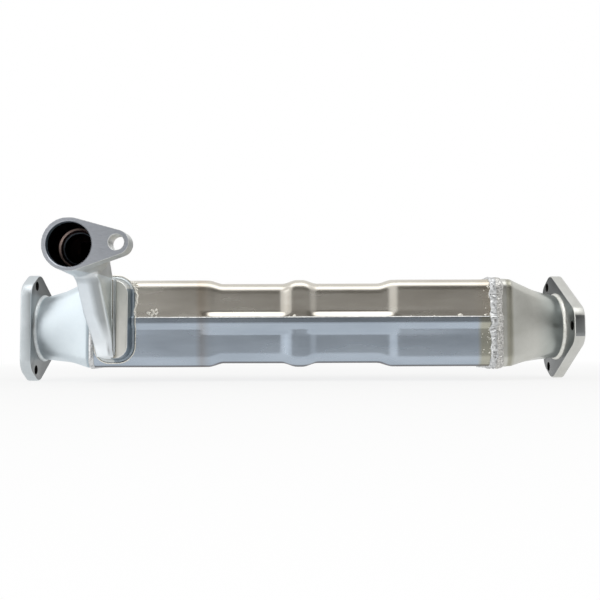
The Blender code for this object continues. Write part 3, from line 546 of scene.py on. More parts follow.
def wrapped_grid(bm, columns, rows, place):
    """A grid whose vertices go where place(u, v) puts them; its meeting edges are merged."""
    made = bmesh.ops.create_grid(bm, x_segments=columns, y_segments=rows, size=0.5)
    for vert in made["verts"]:
        vert.co = place(vert.co.x + 0.5, vert.co.y + 0.5)
    bmesh.ops.remove_doubles(bm, verts=made["verts"], dist=1e-7)


def rounded(corners, radii, steps, closed=True):
    """The corners of an outline rounded with arcs; open outlines keep their two ends."""
    outline = []
    count = len(corners)
    for i, corner in enumerate(corners):
        here = Vector(corner)
        radius = radii[i] if isinstance(radii, (list, tuple)) else radii
        if radius == 0 or (not closed and i in (0, count - 1)):
            outline.append(here)
            continue
        before = (Vector(corners[i - 1]) - here).normalized()
        after = (Vector(corners[(i + 1) % count]) - here).normalized()
        half = before.angle(after) / 2
        centre = here + (before + after).normalized() * radius / math.sin(half)
        start = here + before * radius / math.tan(half) - centre
        end = here + after * radius / math.tan(half) - centre
        square = (end - start * (end.dot(start) / start.length_squared)).normalized() * radius
        for k in range(steps + 1):
            turn = start.angle(end) * k / steps
            outline.append(centre + start * math.cos(turn) + square * math.sin(turn))
    return outline


def round_rectangle(half_wide, half_high, radii, steps):
    """A rectangle round the origin with its corners rounded, from the lower right one upwards."""
    corners = [
        (half_wide, -half_high), (half_wide, half_high), (-half_wide, half_high),
        (-half_wide, -half_high),
    ]
    return rounded(corners, radii, steps)


def outward(outline, i):
    """The direction square to a closed outline at one of its points, away from the origin."""
    ahead = outline[(i + 1) % len(outline)] - outline[i - 1]
    out = Vector((ahead.y, -ahead.x)).normalized()
    return -out if out.dot(outline[i]) < 0 else out


def even_points(path, count, closed):
    """Points spread evenly along a path."""
    points = [Vector(p) for p in path]
    if closed:
        points.append(points[0].copy())
    lengths = [0.0]
    for a, b in zip(points, points[1:]):
        lengths.append(lengths[-1] + (b - a).length)
    total = lengths[-1]
    spread = []
    k = 0
    for i in range(count):
        target = total * i / (count if closed else count - 1)
        while k < len(lengths) - 2 and lengths[k + 1] < target:
            k += 1
        span = max(lengths[k + 1] - lengths[k], 1e-12)
        spread.append(points[k].lerp(points[k + 1], min((target - lengths[k]) / span, 1.0)))
    return spread


def smooth_step(value):
    value = min(max(value, 0.0), 1.0)
    return value * value * (3 - 2 * value)


def folded(value, ease=0.18):
    """0 to 1 on a straight slope with both its ends eased, as a pressed fold has."""
    value = min(max(value, 0.0), 1.0)
    if value < ease:
        return value * value / (2 * ease * (1 - ease))
    if value > 1 - ease:
        return 1 - (1 - value) ** 2 / (2 * ease * (1 - ease))
    return (value - ease / 2) / (1 - ease)


def turned_tool(name, profile, centre, axis, steps=96):
    """A closed solid of revolution from (radius, distance) pairs along an axis."""
    bm = bmesh.new()
    axis = Vector(axis).normalized()
    side = axis.orthogonal().normalized()
    verts = [bm.verts.new(Vector(centre) + side * r + axis * h) for r, h in profile]
    edges = [bm.edges.new((verts[i - 1], verts[i])) for i in range(len(verts))]
    bmesh.ops.spin(
        bm, geom=verts + edges, cent=centre, axis=axis, angle=math.tau, steps=steps, use_merge=True,
    )
    bmesh.ops.remove_doubles(bm, verts=bm.verts, dist=1e-6)
    bmesh.ops.dissolve_degenerate(bm, dist=1e-6, edges=bm.edges)
    bmesh.ops.recalc_face_normals(bm, faces=bm.faces)
    return new_object(name, bm)


def hole_tool(radius, edge, depth, centre, axis, steps):
    """A tool for a round hole through a plate, with both its edges broken."""
    profile = [
        (0, -CUT_PAST), (radius + edge + CUT_PAST, -CUT_PAST), (radius + edge, 0), (radius, edge),
        (radius, depth - edge), (radius + edge, depth),
        (radius + edge + CUT_PAST, depth + CUT_PAST), (0, depth + CUT_PAST),
    ]
    return turned_tool("hole_tool", profile, centre, axis, steps)


def block(name, low, high):
    bm = bmesh.new()
    bmesh.ops.create_cube(bm, size=1.0)
    low = Vector(low)
    high = Vector(high)
    bmesh.ops.scale(bm, vec=high - low, verts=bm.verts)
    bmesh.ops.translate(bm, vec=(low + high) / 2, verts=bm.verts)
    return new_object(name, bm)


# Gas flanges and their neck welds


def gas_flange(name, node, face_x, inward, direction, finish):
    """Three-bolt flange: a triangle with its corners cut off and rounded."""
    bm = bmesh.new()
    to_row = Matrix(((0, 0, inward, face_x), (direction, 0, 0, 0), (0, 1, 0, 0), (0, 0, 0, 1)))
    bmesh.ops.create_circle(bm, cap_ends=True, segments=3, radius=2 * SIDE_DISTANCE)
    first = max(bm.verts, key=lambda v: v.co.y).co
    spin = Matrix.Rotation(-math.atan2(first.y, first.x), 4, "Z")
    bmesh.ops.transform(bm, matrix=spin, verts=bm.verts)
    for k in range(3):
        out = Vector((math.cos(math.tau * k / 3), math.sin(math.tau * k / 3), 0.0))
        bmesh.ops.bisect_plane(
            bm, geom=bm.verts[:] + bm.edges[:] + bm.faces[:], plane_co=out * CORNER_REACH,
            plane_no=out, clear_outer=True,
        )
    bmesh.ops.bevel(
        bm, geom=bm.verts[:], offset=CORNER_ROUNDING * math.tan(math.radians(30)),
        segments=12, profile=0.5, affect="VERTICES", material=-1,
    )
    made = bmesh.ops.extrude_face_region(bm, geom=bm.faces[:])
    moved = [g for g in made["geom"] if isinstance(g, bmesh.types.BMVert)]
    bmesh.ops.translate(bm, vec=(0, 0, FLANGE_THICKNESS), verts=moved)
    rims = [e for e in bm.edges if abs(e.verts[0].co.z - e.verts[1].co.z) < 1e-7]
    bmesh.ops.bevel(
        bm, geom=rims, offset=FLANGE_RIM, segments=4, profile=0.5, affect="EDGES", material=-1,
    )
    bmesh.ops.transform(bm, matrix=to_row, verts=bm.verts)
    bmesh.ops.recalc_face_normals(bm, faces=bm.faces)
    flange = new_object(name, bm)

    bore = NECK_RADIUS - SHEET
    socket = NECK_RADIUS + GAP
    lead = 0.0008
    depth = FLANGE_THICKNESS - NECK_SOCKET_DEPTH
    beyond = FLANGE_THICKNESS + CUT_PAST
    profile = [
        (0, -CUT_PAST), (bore + lead + CUT_PAST, -CUT_PAST), (bore + lead, 0), (bore, lead),
        (bore, depth), (socket, depth), (socket, beyond), (0, beyond),
    ]
    tools = [turned_tool("bore_tool", profile, (face_x, 0, 0), (inward, 0, 0), 128)]
    hole = BOLT_HOLE_RADIUS
    edge = 0.0004
    holes = []
    for k in range(3):
        y = math.cos(math.tau * k / 3) * BOLT_CIRCLE_RADIUS * direction
        z = math.sin(math.tau * k / 3) * BOLT_CIRCLE_RADIUS
        holes.append(Vector((y, z)))
        place = (face_x, y, z)
        tools.append(hole_tool(hole, edge, FLANGE_THICKNESS, place, (inward, 0, 0), 48))
    machine(flange, tools)
    dress(flange, [finish, bolt_hole_painted_shade_finish, flange_painted_shade_finish], 40.0)
    # Hole walls take the dark bolt-hole finish, a painted shade; inner faces past the socket and one
    # side wall take the flange's painted shade.
    for face in flange.data.polygons:
        middle = Vector(face.center.yz)
        face.use_smooth = abs(face.normal.x) < 0.999
        if face.use_smooth and min((middle - h).length for h in holes) < hole + edge:
            face.material_index = 1
        elif face.normal.x * inward > 0.95 and (face.center.x - face_x) * inward > depth:
            face.material_index = 2
        elif direction * face.normal.y > 0.95 and abs(middle.x) > SIDE_DISTANCE:
            face.material_index = 2
    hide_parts(node)


def weld_run(
    bm, stations, width, height, sink, lump, seed, ripple=0.0, pitch=0.004, closed=True, froth=0.0,
):
    """A weld bead along (point, outwards, sideways) stations, with lumps, ripples and froth.

    Its noises have 1300 (froth), 620 and 230 (lumps), 150 (width) and 90 (wander) waves a metre.
    """
    froth_waves, fine_waves, lump_waves, width_waves, wander_waves = 1300.0, 620.0, 230.0, 150.0, 90.0
    count = len(stations)
    around = 40 if froth else 18
    length = 0.0
    at = [0.0]
    for i in range(1, count):
        length += (stations[i][0] - stations[i - 1][0]).length
        at.append(length)
    shift = Vector((seed * 7.31, seed * 3.17, seed * 1.93))

    def place(u, v):
        i = round(u * count) % count if closed else min(round(u * (count - 1)), count - 1)
        point, out, side = stations[i]
        turn = math.tau * (round(v * around) % around) / around
        across = math.cos(turn)
        rise = math.sin(turn)
        spot = point + side * across * width / 2
        rough = noise.noise((spot + shift) * lump_waves)
        rough += 0.5 * noise.noise((spot + shift) * fine_waves)
        wander = noise.noise((point + shift) * wander_waves)
        crest = math.cos(math.tau * (at[i] / pitch + 0.55 * across * across + 0.3 * wander))
        swell = 1.0 + lump * rough + ripple * crest * max(rise, 0.0)
        swell += froth * noise.noise((spot + shift) * froth_waves)
        uneven_side = noise.noise((point + shift) * width_waves + side * across)
        wide = width / 2 * (1.0 + 0.55 * lump * uneven_side)
        lift = height * swell if rise > 0 else sink
        return point + side * (across * wide + 0.20 * width * lump * wander) + out * rise * lift

    if closed:
        wrapped_grid(bm, count, around, place)
    else:
        wrapped_grid(bm, count - 1, around, place)
        bmesh.ops.holes_fill(bm, edges=[e for e in bm.edges if e.is_boundary], sides=0)
    bmesh.ops.recalc_face_normals(bm, faces=bm.faces)


def neck_weld(name, back_x, inward, seed, finish):
    """The fillet weld that closes the joint between a neck and its flange."""
    stations = []
    steps = 260
    for k in range(steps):
        turn = math.tau * k / steps
        radial = Vector((0, math.cos(turn), math.sin(turn)))
        out = (radial + Vector((inward, 0, 0))).normalized()
        side = (radial - Vector((inward, 0, 0))).normalized()
        root = radial * (NECK_RADIUS + 0.0018) + Vector((back_x + inward * 0.0009, 0, 0))
        stations.append((root, out, side))
    bm = bmesh.new()
    weld_run(bm, stations, width=0.0062, height=0.0021, sink=0.0012, lump=0.03, seed=seed)
    return dressed_weld(name, bm, [finish])


# Cones


def body_outline(inset=0.0, steps=14):
    return round_rectangle(
        BODY_HALF_WIDTH - inset, BODY_HALF_HEIGHT - inset, BODY_CORNER_RADIUS - inset, steps,
    )


def gas_cone(name, node, flange_x, shell_x, collar, neck_blend, step, finish):
    """Formed sheet from the round neck to the body's rounded rectangle.

    The bend at the collar is crisp, the one at the neck runs out over the share neck_blend of the
    cone, and the collar stands out by step beside its weld.
    """
    inward = 1 if shell_x > flange_x else -1
    start = flange_x + inward * (FLANGE_THICKNESS - NECK_SOCKET_DEPTH + GAP)
    open_x = flange_x + inward * (FLANGE_THICKNESS + NECK_STRAIGHT)
    full_x = shell_x - inward * collar
    end = shell_x - inward * GAP
    square = []
    corners = body_outline(steps=12)
    for a, b in zip(corners, corners[1:] + corners[:1]):
        pieces = max(1, round((b - a).length / 0.004))
        square += [a.lerp(b, k / pieces) for k in range(pieces)]
    count = len(square)

    def flare(x):
        """0 on the neck, a long hollow curve, a straight slope, and 1 on the collar."""
        share = min(max((x - open_x) / (full_x - open_x), 0.0), 1.0)
        rise = share * share / (2 * neck_blend) if share < neck_blend else share - neck_blend / 2
        return rise / (1 - neck_blend / 2)

    stations = [start + (end - start) * k / 72 for k in range(73)]
    bm = bmesh.new()

    def place(u, v):
        corner = square[round(u * count) % count]
        x = stations[round(v * 72)]
        blend = flare(x)
        angle = math.atan2(corner.y, corner.x)
        spot = Vector((
            x,
            (1 - blend) * NECK_RADIUS * math.cos(angle) + blend * corner.x,
            (1 - blend) * NECK_RADIUS * math.sin(angle) + blend * (corner.y + BODY_RISE),
        ))
        formed = math.sin(math.pi * min(max(blend, 0.0), 1.0))
        dent = noise.noise(spot * 34.0) * 0.0004 * formed
        near_weld = smooth_step((collar - abs(x - shell_x) - 0.0020) / 0.0040)
        clear = smooth_step((abs(x - flange_x) - FLANGE_THICKNESS) / 0.0030)
        swell = NECK_SWELL * clear * (1 - blend) ** 2
        out = dent + step * near_weld + swell
        return spot + Vector((0, math.cos(angle), math.sin(angle))) * out

    wrapped_grid(bm, count, 72, place)
    turn_outwards(bm, Vector((0, 0, BODY_RISE / 2)))
    cone = new_object(name, bm)
    thicken(cone)
    dress(cone, [finish], 50.0)
    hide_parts(node)


# Shells


def band_depth(x, bands):
    """How deep the pressed bands are at x."""
    for start, end in bands:
        if start < x < end:
            edge = min(x - start, end - x) / BAND_RAMP
            return RECESS_DEPTH * (0.5 - 0.5 * math.cos(math.pi * min(edge, 1.0)))
    return 0.0


def shell_lengths():
    """Places along the shells, closer together on the ramps of the bands."""
    places = []
    x = SHELL_START
    reach = BAND_RAMP + SIDE_BANDS[1][1] - FLAT_BANDS[1][1]
    while x < SHELL_END - 1e-6:
        places.append(x)
        near = min(abs(x - e) for band in SIDE_BANDS for e in band)
        x += 0.0014 if near < reach else 0.0032
    places.append(SHELL_END)
    return places


def shell_path(upper):
    """Outer side of a shell's full section, from one joint edge round to the other."""
    half = BODY_HALF_WIDTH
    side = 1 if upper else -1
    far = BODY_RISE + side * BODY_HALF_HEIGHT
    if upper:
        corners = [(half, JOINT_Z - LIP_HEIGHT + 2 * GAP), (half, far)]
        radii = [0.0, BODY_CORNER_RADIUS]
    else:
        foot = JOINT_Z - LIP_HEIGHT
        lip = half + LIP_OFFSET
        corners = [(lip, JOINT_Z), (lip, foot), (half, foot - LIP_JOGGLE), (half, far)]
        radii = [0.0, 0.0016, 0.0024, BODY_CORNER_RADIUS]
    mirrored = [(-y, z) for y, z in corners[::-1]]
    return even_points(rounded(corners + mirrored, radii + radii[::-1], 10, False), 190, False)


def shell_half(name, node, upper, windows, finish):
    """One pressed trough: full section with two shallow bands, drawn in from every side."""
    path = shell_path(upper)
    lengths = shell_lengths()
    columns = len(lengths) - 1
    rows = len(path) - 1
    seam = JOINT_Z + SEAM_MARGIN if upper else JOINT_Z - LIP_HEIGHT - LIP_JOGGLE
    straight_y = BODY_HALF_WIDTH - BODY_CORNER_RADIUS
    straight_z = BODY_HALF_HEIGHT - BODY_CORNER_RADIUS
    bm = bmesh.new()

    def place(u, v):
        x = lengths[round(u * columns)]
        y, z = path[round(v * rows)]
        beyond = (z - seam) if upper else (seam - z)
        side_depth = band_depth(x, SIDE_BANDS) * folded(beyond / RECESS_SLOPE)
        flat_depth = band_depth(x, FLAT_BANDS)
        pull_y = min(abs(y) / straight_y, 1.0) * math.copysign(1.0, y)
        pull_z = min(abs(z - BODY_RISE) / straight_z, 1.0) * math.copysign(1.0, z - BODY_RISE)
        if abs(y) > straight_y:
            pull_z *= smooth_step((abs(z - BODY_RISE) - 0.6 * straight_z) / (0.4 * straight_z))
        spot = Vector((x, y - pull_y * side_depth, z - pull_z * flat_depth))
        calm = smooth_step(beyond / 0.008) * smooth_step((x - SHELL_START) / 0.02)
        calm *= smooth_step((SHELL_END - x) / 0.02)
        sag = noise.noise(spot * 15.0) * 0.00018 * calm
        flat = Vector((0, y, z - BODY_RISE)).normalized()
        return spot + flat * (sag - 0.00010 * calm)

    wrapped_grid(bm, columns, rows, place)
    turn_outwards(bm, BODY_MIDDLE)
    shell = new_object(name, bm)
    thicken(shell, True)
    machine(shell, windows)
    edge = shell.modifiers.new("deburred", "BEVEL")
    edge.width = 0.0005
    edge.segments = 2
    edge.limit_method = "ANGLE"
    edge.angle_limit = math.radians(55)
    settle(shell)
    dress(shell, [finish], 40.0)
    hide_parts(node)


def shell_windows():
    """Tools for the two coolant ways through the shells."""
    inner = BODY_HALF_WIDTH - SHEET - RECESS_DEPTH
    outer = BODY_HALF_WIDTH + LIP_OFFSET + 0.004
    front = block(
        "window_tool",
        (PAD_LEFT + WINDOW_FRAME, -outer, PAD_BOTTOM + WINDOW_FRAME),
        (PAD_RIGHT - WINDOW_FRAME, -inner, PAD_TOP - WINDOW_FRAME),
    )
    reach = SPIGOT_RADIUS - SPIGOT_WALL
    profile = [(0, inner), (reach, inner), (reach, outer), (0, outer)]
    back = turned_tool("spigot_tool", profile, (SPIGOT_X, 0, MIDDLE_Z), (0, 1, 0), 64)
    return [front, back]


# Welds round the shell ends


def on_lip(z):
    """1 on the lower shell's lip, easing off over its joggle and just above its edge."""
    above = 0.002
    rise = smooth_step((z - (JOINT_Z - LIP_HEIGHT - LIP_JOGGLE)) / LIP_JOGGLE)
    return rise * smooth_step((JOINT_Z + above - z) / above)


def girth_stations(x, steps):
    """Stations round the outside of the joined shells, over the lip, at x."""
    outline = even_points(body_outline(), steps, True)
    stations = []
    for i, point in enumerate(outline):
        out = outward(outline, i)
        z = point.y + BODY_RISE
        flank = smooth_step((abs(point.x) - 0.8 * BODY_HALF_WIDTH) / 0.004)
        lift = LIP_OFFSET * on_lip(z) * flank
        centre = Vector((x, point.x + out.x * lift, z + out.y * lift))
        stations.append((centre, Vector((0, out.x, out.y)), Vector((1, 0, 0))))
    return stations


def girth_weld(name, node, x, width, height, lump, ripple, pitch, seed, finish, froth=0.0):
    """One weld run round the end of the shells; node is the CAD bead it stands for, if any."""
    bm = bmesh.new()
    stations = girth_stations(x, 1000 if froth else 420)
    weld_run(
        bm, stations, width, height, sink=0.0008, lump=lump, seed=seed, ripple=ripple, pitch=pitch,
        froth=froth,
    )
    bead = dressed_weld(name, bm, [finish])
    if node:
        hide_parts(node)


def joint_braze(name, stretches, seed):
    """Thin fillets of braze along the top of the lower shell's lip: (start, end, side) stretches."""
    bm = bmesh.new()
    for k, (start, end, side) in enumerate(stretches):
        steps = round((end - start) / 0.0012)
        out = Vector((0, side, 1)).normalized()
        across = Vector((0, side, -1)).normalized()
        y = side * (BODY_HALF_WIDTH + 0.0012)
        stations = [
            (Vector((start + (end - start) * i / steps, y, JOINT_Z + 0.0001)), out, across)
            for i in range(steps + 1)
        ]
        run = bmesh.new()
        weld_run(
            run, stations, width=0.0024, height=0.0005, sink=0.0010, lump=0.30, seed=seed + k,
            closed=False,
        )
        part = bpy.data.meshes.new("run")
        run.to_mesh(part)
        run.free()
        bm.from_mesh(part)
        bpy.data.meshes.remove(part)
    return dressed_weld(name, bm, [bright_weld_finish])


# The coolant inlet casting


def duct_front(z):
    lean = DUCT_SLOPE * (z + DUCT_ROOT_BELOW_AXIS)
    proud = DUCT_FOOT_PROUD * smooth_step((DUCT_FOOT_TOP - z) / (2 * DUCT_FOOT_TOP))
    return (lean + math.hypot(lean, DUCT_BLEND)) / 2 + proud


def duct_section(z, inset):
    """D-shaped level section of the duct at a height, as (x, y) points from its back left."""
    boss_foot = PORT_HEIGHT - PORT_OUTER_RADIUS - BOSS_DRAFT
    foot = min(max((DUCT_FOOT_TOP - z) / (DUCT_FOOT_TOP - PAD_BOTTOM), 0.0), 1.0) ** 1.1
    left = DUCT_LEFT + foot * (PAD_LEFT - DUCT_LEFT) + inset
    right = DUCT_RIGHT + foot * DUCT_WALL - inset
    front = PAD_FRONT - duct_front(min(z, boss_foot))
    if inset == 0:
        flare = min(max(0.0, z - (boss_foot - BOSS_FILLET)) / BOSS_FILLET, 1.0)
        front = max(front - BOSS_FILLET * flare ** 2, PORT_FACE + PORT_SEAT_DEPTH + 2 * GAP)
    front += inset
    back = PAD_FRONT + DUCT_ROOT_DEPTH
    back -= max(0.0, z - PAD_TOP - DUCT_FOOT_MARGIN) * DUCT_BACK_LEAN + inset
    depth = back - front
    if inset:
        right_radius, left_radius = (min(r - inset * 0.7, depth * 0.8) for r in PASSAGE_ROUNDINGS)
        corners = [(left, back), (right, back), (right, front), (left, front)]
        return rounded(corners, [0.0, 0.0, right_radius, left_radius], 10)
    right_radius = min(DUCT_RIGHT_ROUNDING, depth * 0.8)
    cheek = min(DUCT_CHEEK_DROP, depth * 0.5)
    corners = [
        (left, back), (right, back), (right, front), (left + DUCT_CHEEK_WIDTH, front),
        (left, front + cheek),
    ]
    radii = [0.0, 0.0, right_radius, DUCT_CHEEK_ROUNDING, min(0.003, depth * 0.2)]
    return rounded(corners, radii, 10)


def duct_solid(bm, inset):
    low = PAD_BOTTOM + DUCT_FOOT_MARGIN + inset * 3
    high = PORT_HEIGHT + PORT_OUTER_RADIUS / 2 - inset
    around = 120
    levels = 70
    rings = [
        even_points(duct_section(low + (high - low) * k / levels, inset), around, True)
        for k in range(levels + 1)
    ]

    def place(u, v):
        level = round(v * levels)
        point = rings[level][round(u * around) % around]
        return Vector((point.x, point.y, low + (high - low) * level / levels))

    wrapped_grid(bm, around, levels, place)
    bmesh.ops.holes_fill(bm, edges=[e for e in bm.edges if e.is_boundary], sides=0)


def rounded_pad(bm, x_low, x_high, back_y, front_y, draft, radii):
    """A pad with rounded corners that widens by the draft towards its back."""
    half_x = (x_high - x_low) / 2
    half_z = (PAD_TOP - PAD_BOTTOM) / 2
    outline = round_rectangle(half_x, half_z, radii, 12)
    middle = Vector(((x_low + x_high) / 2, 0, MIDDLE_Z))
    verts = [bm.verts.new(middle + Vector((p.x, front_y, p.y))) for p in outline]
    face = bm.faces.new(verts)
    made = bmesh.ops.extrude_face_region(bm, geom=[face])
    moved = [g for g in made["geom"] if isinstance(g, bmesh.types.BMVert)]
    bmesh.ops.translate(bm, vec=(0, back_y - front_y, 0), verts=moved)
    widen = Vector(((half_x + draft) / half_x, 1.0, (half_z + draft) / half_z))
    bmesh.ops.scale(bm, vec=widen, verts=moved, space=Matrix.Translation(-middle))


def port_plate_solid(bm, ear, extra):
    """The port's flange: the hull of a round end and an ear."""
    verts = []
    depth = EAR_THICKNESS + extra
    for spot, radius in (((PORT_X, PORT_HEIGHT), PORT_OUTER_RADIUS), (ear, EAR_RADIUS)):
        place = Matrix.Translation((spot[0], PORT_FACE - extra + depth / 2, spot[1]))
        place = place @ Matrix.Rotation(math.radians(90), 4, "X")
        made = bmesh.ops.create_cone(
            bm, cap_ends=True, segments=96, radius1=radius, radius2=radius, depth=depth, matrix=place,
        )
        verts += made["verts"]
    hull = bmesh.ops.convex_hull(bm, input=verts)
    kept = {f for f in hull["geom"] if isinstance(f, bmesh.types.BMFace)}
    touched = {f for v in verts if v.is_valid for f in v.link_faces}
    bmesh.ops.delete(bm, geom=[f for f in touched if f not in kept], context="FACES")
    inside = [g for g in hull["geom_interior"] if isinstance(g, bmesh.types.BMVert) and g.is_valid]
    bmesh.ops.delete(bm, geom=inside, context="VERTS")


def cast_skin(thing, voxel, passes):
    """Fuse overlapping solids into one skin and soften it as a mould leaves it."""
    fuse = thing.modifiers.new("fuse", "REMESH")
    fuse.mode = "VOXEL"
    fuse.voxel_size = voxel
    soft = thing.modifiers.new("soften", "SMOOTH")
    soft.factor = 0.5
    soft.iterations = passes
    settle(thing)


def lip_relief(x_low, x_high, side):
    """A tool that clears the lower shell's lip and joggle behind a pad."""
    reach = LIP_OFFSET + GAP
    wall = side * BODY_HALF_WIDTH
    return block(
        "lip_tool", (x_low, wall - reach, JOINT_Z - LIP_HEIGHT - LIP_JOGGLE - 2 * GAP),
        (x_high, wall + reach, JOINT_Z + 2 * GAP),
    )


def duct_axis(z):
    """Middle of the duct's passage at a height."""
    section = duct_section(z, DUCT_WALL)
    middle = sum(section, Vector((0, 0))) / len(section)
    return Vector((middle.x, middle.y, z))


def in_passage(spot):
    """Whether a spot lies on the wall of the duct's passage."""
    if not PAD_BOTTOM < spot.z < PORT_HEIGHT + PORT_OUTER_RADIUS / 2:
        return False
    section = duct_section(spot.z, DUCT_WALL)
    reach = 0.0006
    low_x, high_x = min(p.x for p in section) - reach, max(p.x for p in section) + reach
    low_y, high_y = min(p.y for p in section) - reach, max(p.y for p in section) + reach
    return low_x < spot.x < high_x and low_y < spot.y < high_y


def beside_pad(spot):
    """Whether a spot on the casting is on the pad's side wall, below its top corner."""
    right = spot.x - (PAD_LEFT + PAD_RIGHT) / 2
    up = spot.z - MIDDLE_Z
    radius = PAD_CORNERS[(0 if up < 0 else 1) if right > 0 else (3 if up < 0 else 2)]
    across = abs(right) - (PAD_RIGHT - PAD_LEFT) / 2 + radius
    rise = abs(up) - (PAD_TOP - PAD_BOTTOM) / 2 + radius
    reach = math.hypot(max(across, 0.0), max(rise, 0.0)) + min(max(across, rise), 0.0) - radius
    return reach > -0.0002 and spot.y > PAD_FRONT and spot.z < PAD_TOP - PAD_CORNERS[1] * 0.6


def casting_blank():
    """The casting as it leaves its mould, without its bores and faces."""
    bm = bmesh.new()
    skimmed = 0.0003
    port_plate_solid(bm, EAR, skimmed)
    foot = PORT_OUTER_RADIUS + BOSS_DRAFT
    boss = turned_tool(
        "boss",
        [
            (0, EAR_THICKNESS / 3), (PORT_OUTER_RADIUS, EAR_THICKNESS / 3),
            (foot, BOSS_LENGTH - 0.006), (foot - 0.002, BOSS_LENGTH - 0.0018),
            (foot - 0.0065, BOSS_LENGTH), (0, BOSS_LENGTH),
        ],
        PORT_CENTRE, (0, 1, 0), 128,
    )
    bm.from_mesh(boss.data)
    bpy.data.objects.remove(boss, do_unlink=True)
    duct_solid(bm, 0.0)
    rounded_pad(bm, PAD_LEFT, PAD_RIGHT, PAD_BACK + 0.0012, PAD_FRONT, PAD_DRAFT, PAD_CORNERS)
    bmesh.ops.recalc_face_normals(bm, faces=bm.faces)
    blank = new_object("coolant_port_casting", bm)
    cast_skin(blank, 0.00085, 7)
    return blank


def port_bore_tool():
    """The port's bore with its lead-in, two stepped rings under its seat, and the passage."""
    bore = PORT_BORE_RADIUS
    rings = ((0.0, 0.0), (0.0011, 0.0008), (0.0016, 0.0011), (0.0019, 0.0026), (0.0034, 0.0030))
    profile = [
        (0, -CUT_PAST), (bore + PORT_CHAMFER + CUT_PAST, -CUT_PAST), (bore + PORT_CHAMFER, 0),
        (bore, PORT_CHAMFER), (bore - 0.0003, PORT_LEAD_DEPTH),
    ]
    profile += [(PORT_SEAT_RADIUS - inwards, PORT_SEAT_DEPTH + deeper) for inwards, deeper in rings]
    profile += [
        (PORT_PASSAGE_RADIUS, PORT_SEAT_DEPTH + 0.0038),
        (PORT_PASSAGE_RADIUS, BOSS_LENGTH - DUCT_WALL), (0, BOSS_LENGTH - DUCT_WALL),
    ]
    return turned_tool("bore_tool", profile, PORT_CENTRE, (0, 1, 0), 144)


def duct_groove_tool():
    """A shallow round-bottomed groove on the pad's face beside the duct."""
    low, high, radius = -0.028, 0.052, 0.0019
    profile = [(0, low), (0.0008, low + 0.0002), (radius, low + 0.006), (radius, high), (0, high)]
    return turned_tool(
        "groove_tool", profile, (DUCT_RIGHT + 0.0031, PAD_FRONT - 0.0004, 0), (0, 0, 1), 32,
    )


def casting_finish_at(spot, normal):
    """Which of the casting's finishes a face has; the bore, lead-in, pad side, pad face and duct
    finishes hold painted shade, the duct's also painted highlight.
    """
    off = math.hypot(spot.x - PORT_X, spot.z - PORT_HEIGHT)
    depth = spot.y - PORT_FACE
    below_seat = depth - PORT_SEAT_DEPTH
    inside = off < PORT_BORE_RADIUS + 0.0001 and depth > PORT_CHAMFER
    on_chamfer = off < PORT_BORE_RADIUS + PORT_CHAMFER and depth < PORT_CHAMFER * 1.5
    boss_foot = PORT_HEIGHT - PORT_OUTER_RADIUS - BOSS_DRAFT + BOSS_FILLET / 2
    if depth < 1e-5 or on_chamfer:
        return milled_finish
    if inside and (depth < PORT_LEAD_DEPTH or off < PORT_SEAT_RADIUS - 0.0034 and below_seat < 0.0040):
        return lead_in_painted_shade_finish
    if inside and off > PORT_SEAT_RADIUS - 0.0016 and 0 < below_seat < 0.0012:
        return ring_finish
    if inside and depth < BOSS_LENGTH - 0.001:
        return bore_painted_shade_finish
    if in_passage(spot) and normal.dot(spot - duct_axis(spot.z)) < 0:
        return bore_painted_shade_finish
    if spot.x > DUCT_RIGHT and beside_pad(spot):
        return pad_side_painted_shade_finish
    if spot.x > DUCT_RIGHT and abs(spot.y - PAD_FRONT) < 0.0006:
        return pad_face_painted_shade_finish
    if spot.y < PAD_FRONT + 0.0060 and spot.x < DUCT_RIGHT + DUCT_WALL and spot.z < boss_foot:
        return duct_painted_shading_finish
    return cast_finish


def coolant_casting():
    casting = casting_blank()
    wide = 0.09
    skim = block("skim_tool", (-wide, PORT_FACE - 0.01, -wide), (3 * wide, PORT_FACE, 2 * wide))
    seat_plane = block("seat_tool", (-wide, PAD_BACK, -wide), (3 * wide, PAD_BACK + 0.01, 2 * wide))
    ear_place = (EAR[0], PORT_FACE, EAR[1])
    ear_hole = hole_tool(EAR_HOLE_RADIUS, EAR_EDGE, EAR_THICKNESS, ear_place, (0, 1, 0), 64)
    machine(casting, [skim, ear_hole, seat_plane, duct_groove_tool()])
    passage = bmesh.new()
    duct_solid(passage, DUCT_WALL)
    bmesh.ops.recalc_face_normals(passage, faces=passage.faces)
    window = block(
        "window_tool",
        (PAD_LEFT + WINDOW_FRAME, PAD_FRONT + WINDOW_COVER, PAD_BOTTOM + WINDOW_FRAME),
        (PAD_RIGHT - WINDOW_FRAME, PAD_BACK + CUT_PAST, PAD_TOP - WINDOW_FRAME),
    )
    relief = lip_relief(PAD_LEFT - CUT_PAST, PAD_RIGHT + CUT_PAST, -1)
    machine(casting, [port_bore_tool(), new_object("passage_tool", passage), window, relief])
    finishes = [
        cast_finish, milled_finish, bore_painted_shade_finish, ring_finish, lead_in_painted_shade_finish, pad_side_painted_shade_finish,
        duct_painted_shading_finish, pad_face_painted_shade_finish,
    ]
    dress(casting, finishes, 40.0)
    for face in casting.data.polygons:
        face.material_index = finishes.index(casting_finish_at(face.center, face.normal))
    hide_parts("coolant_inlet_casting")


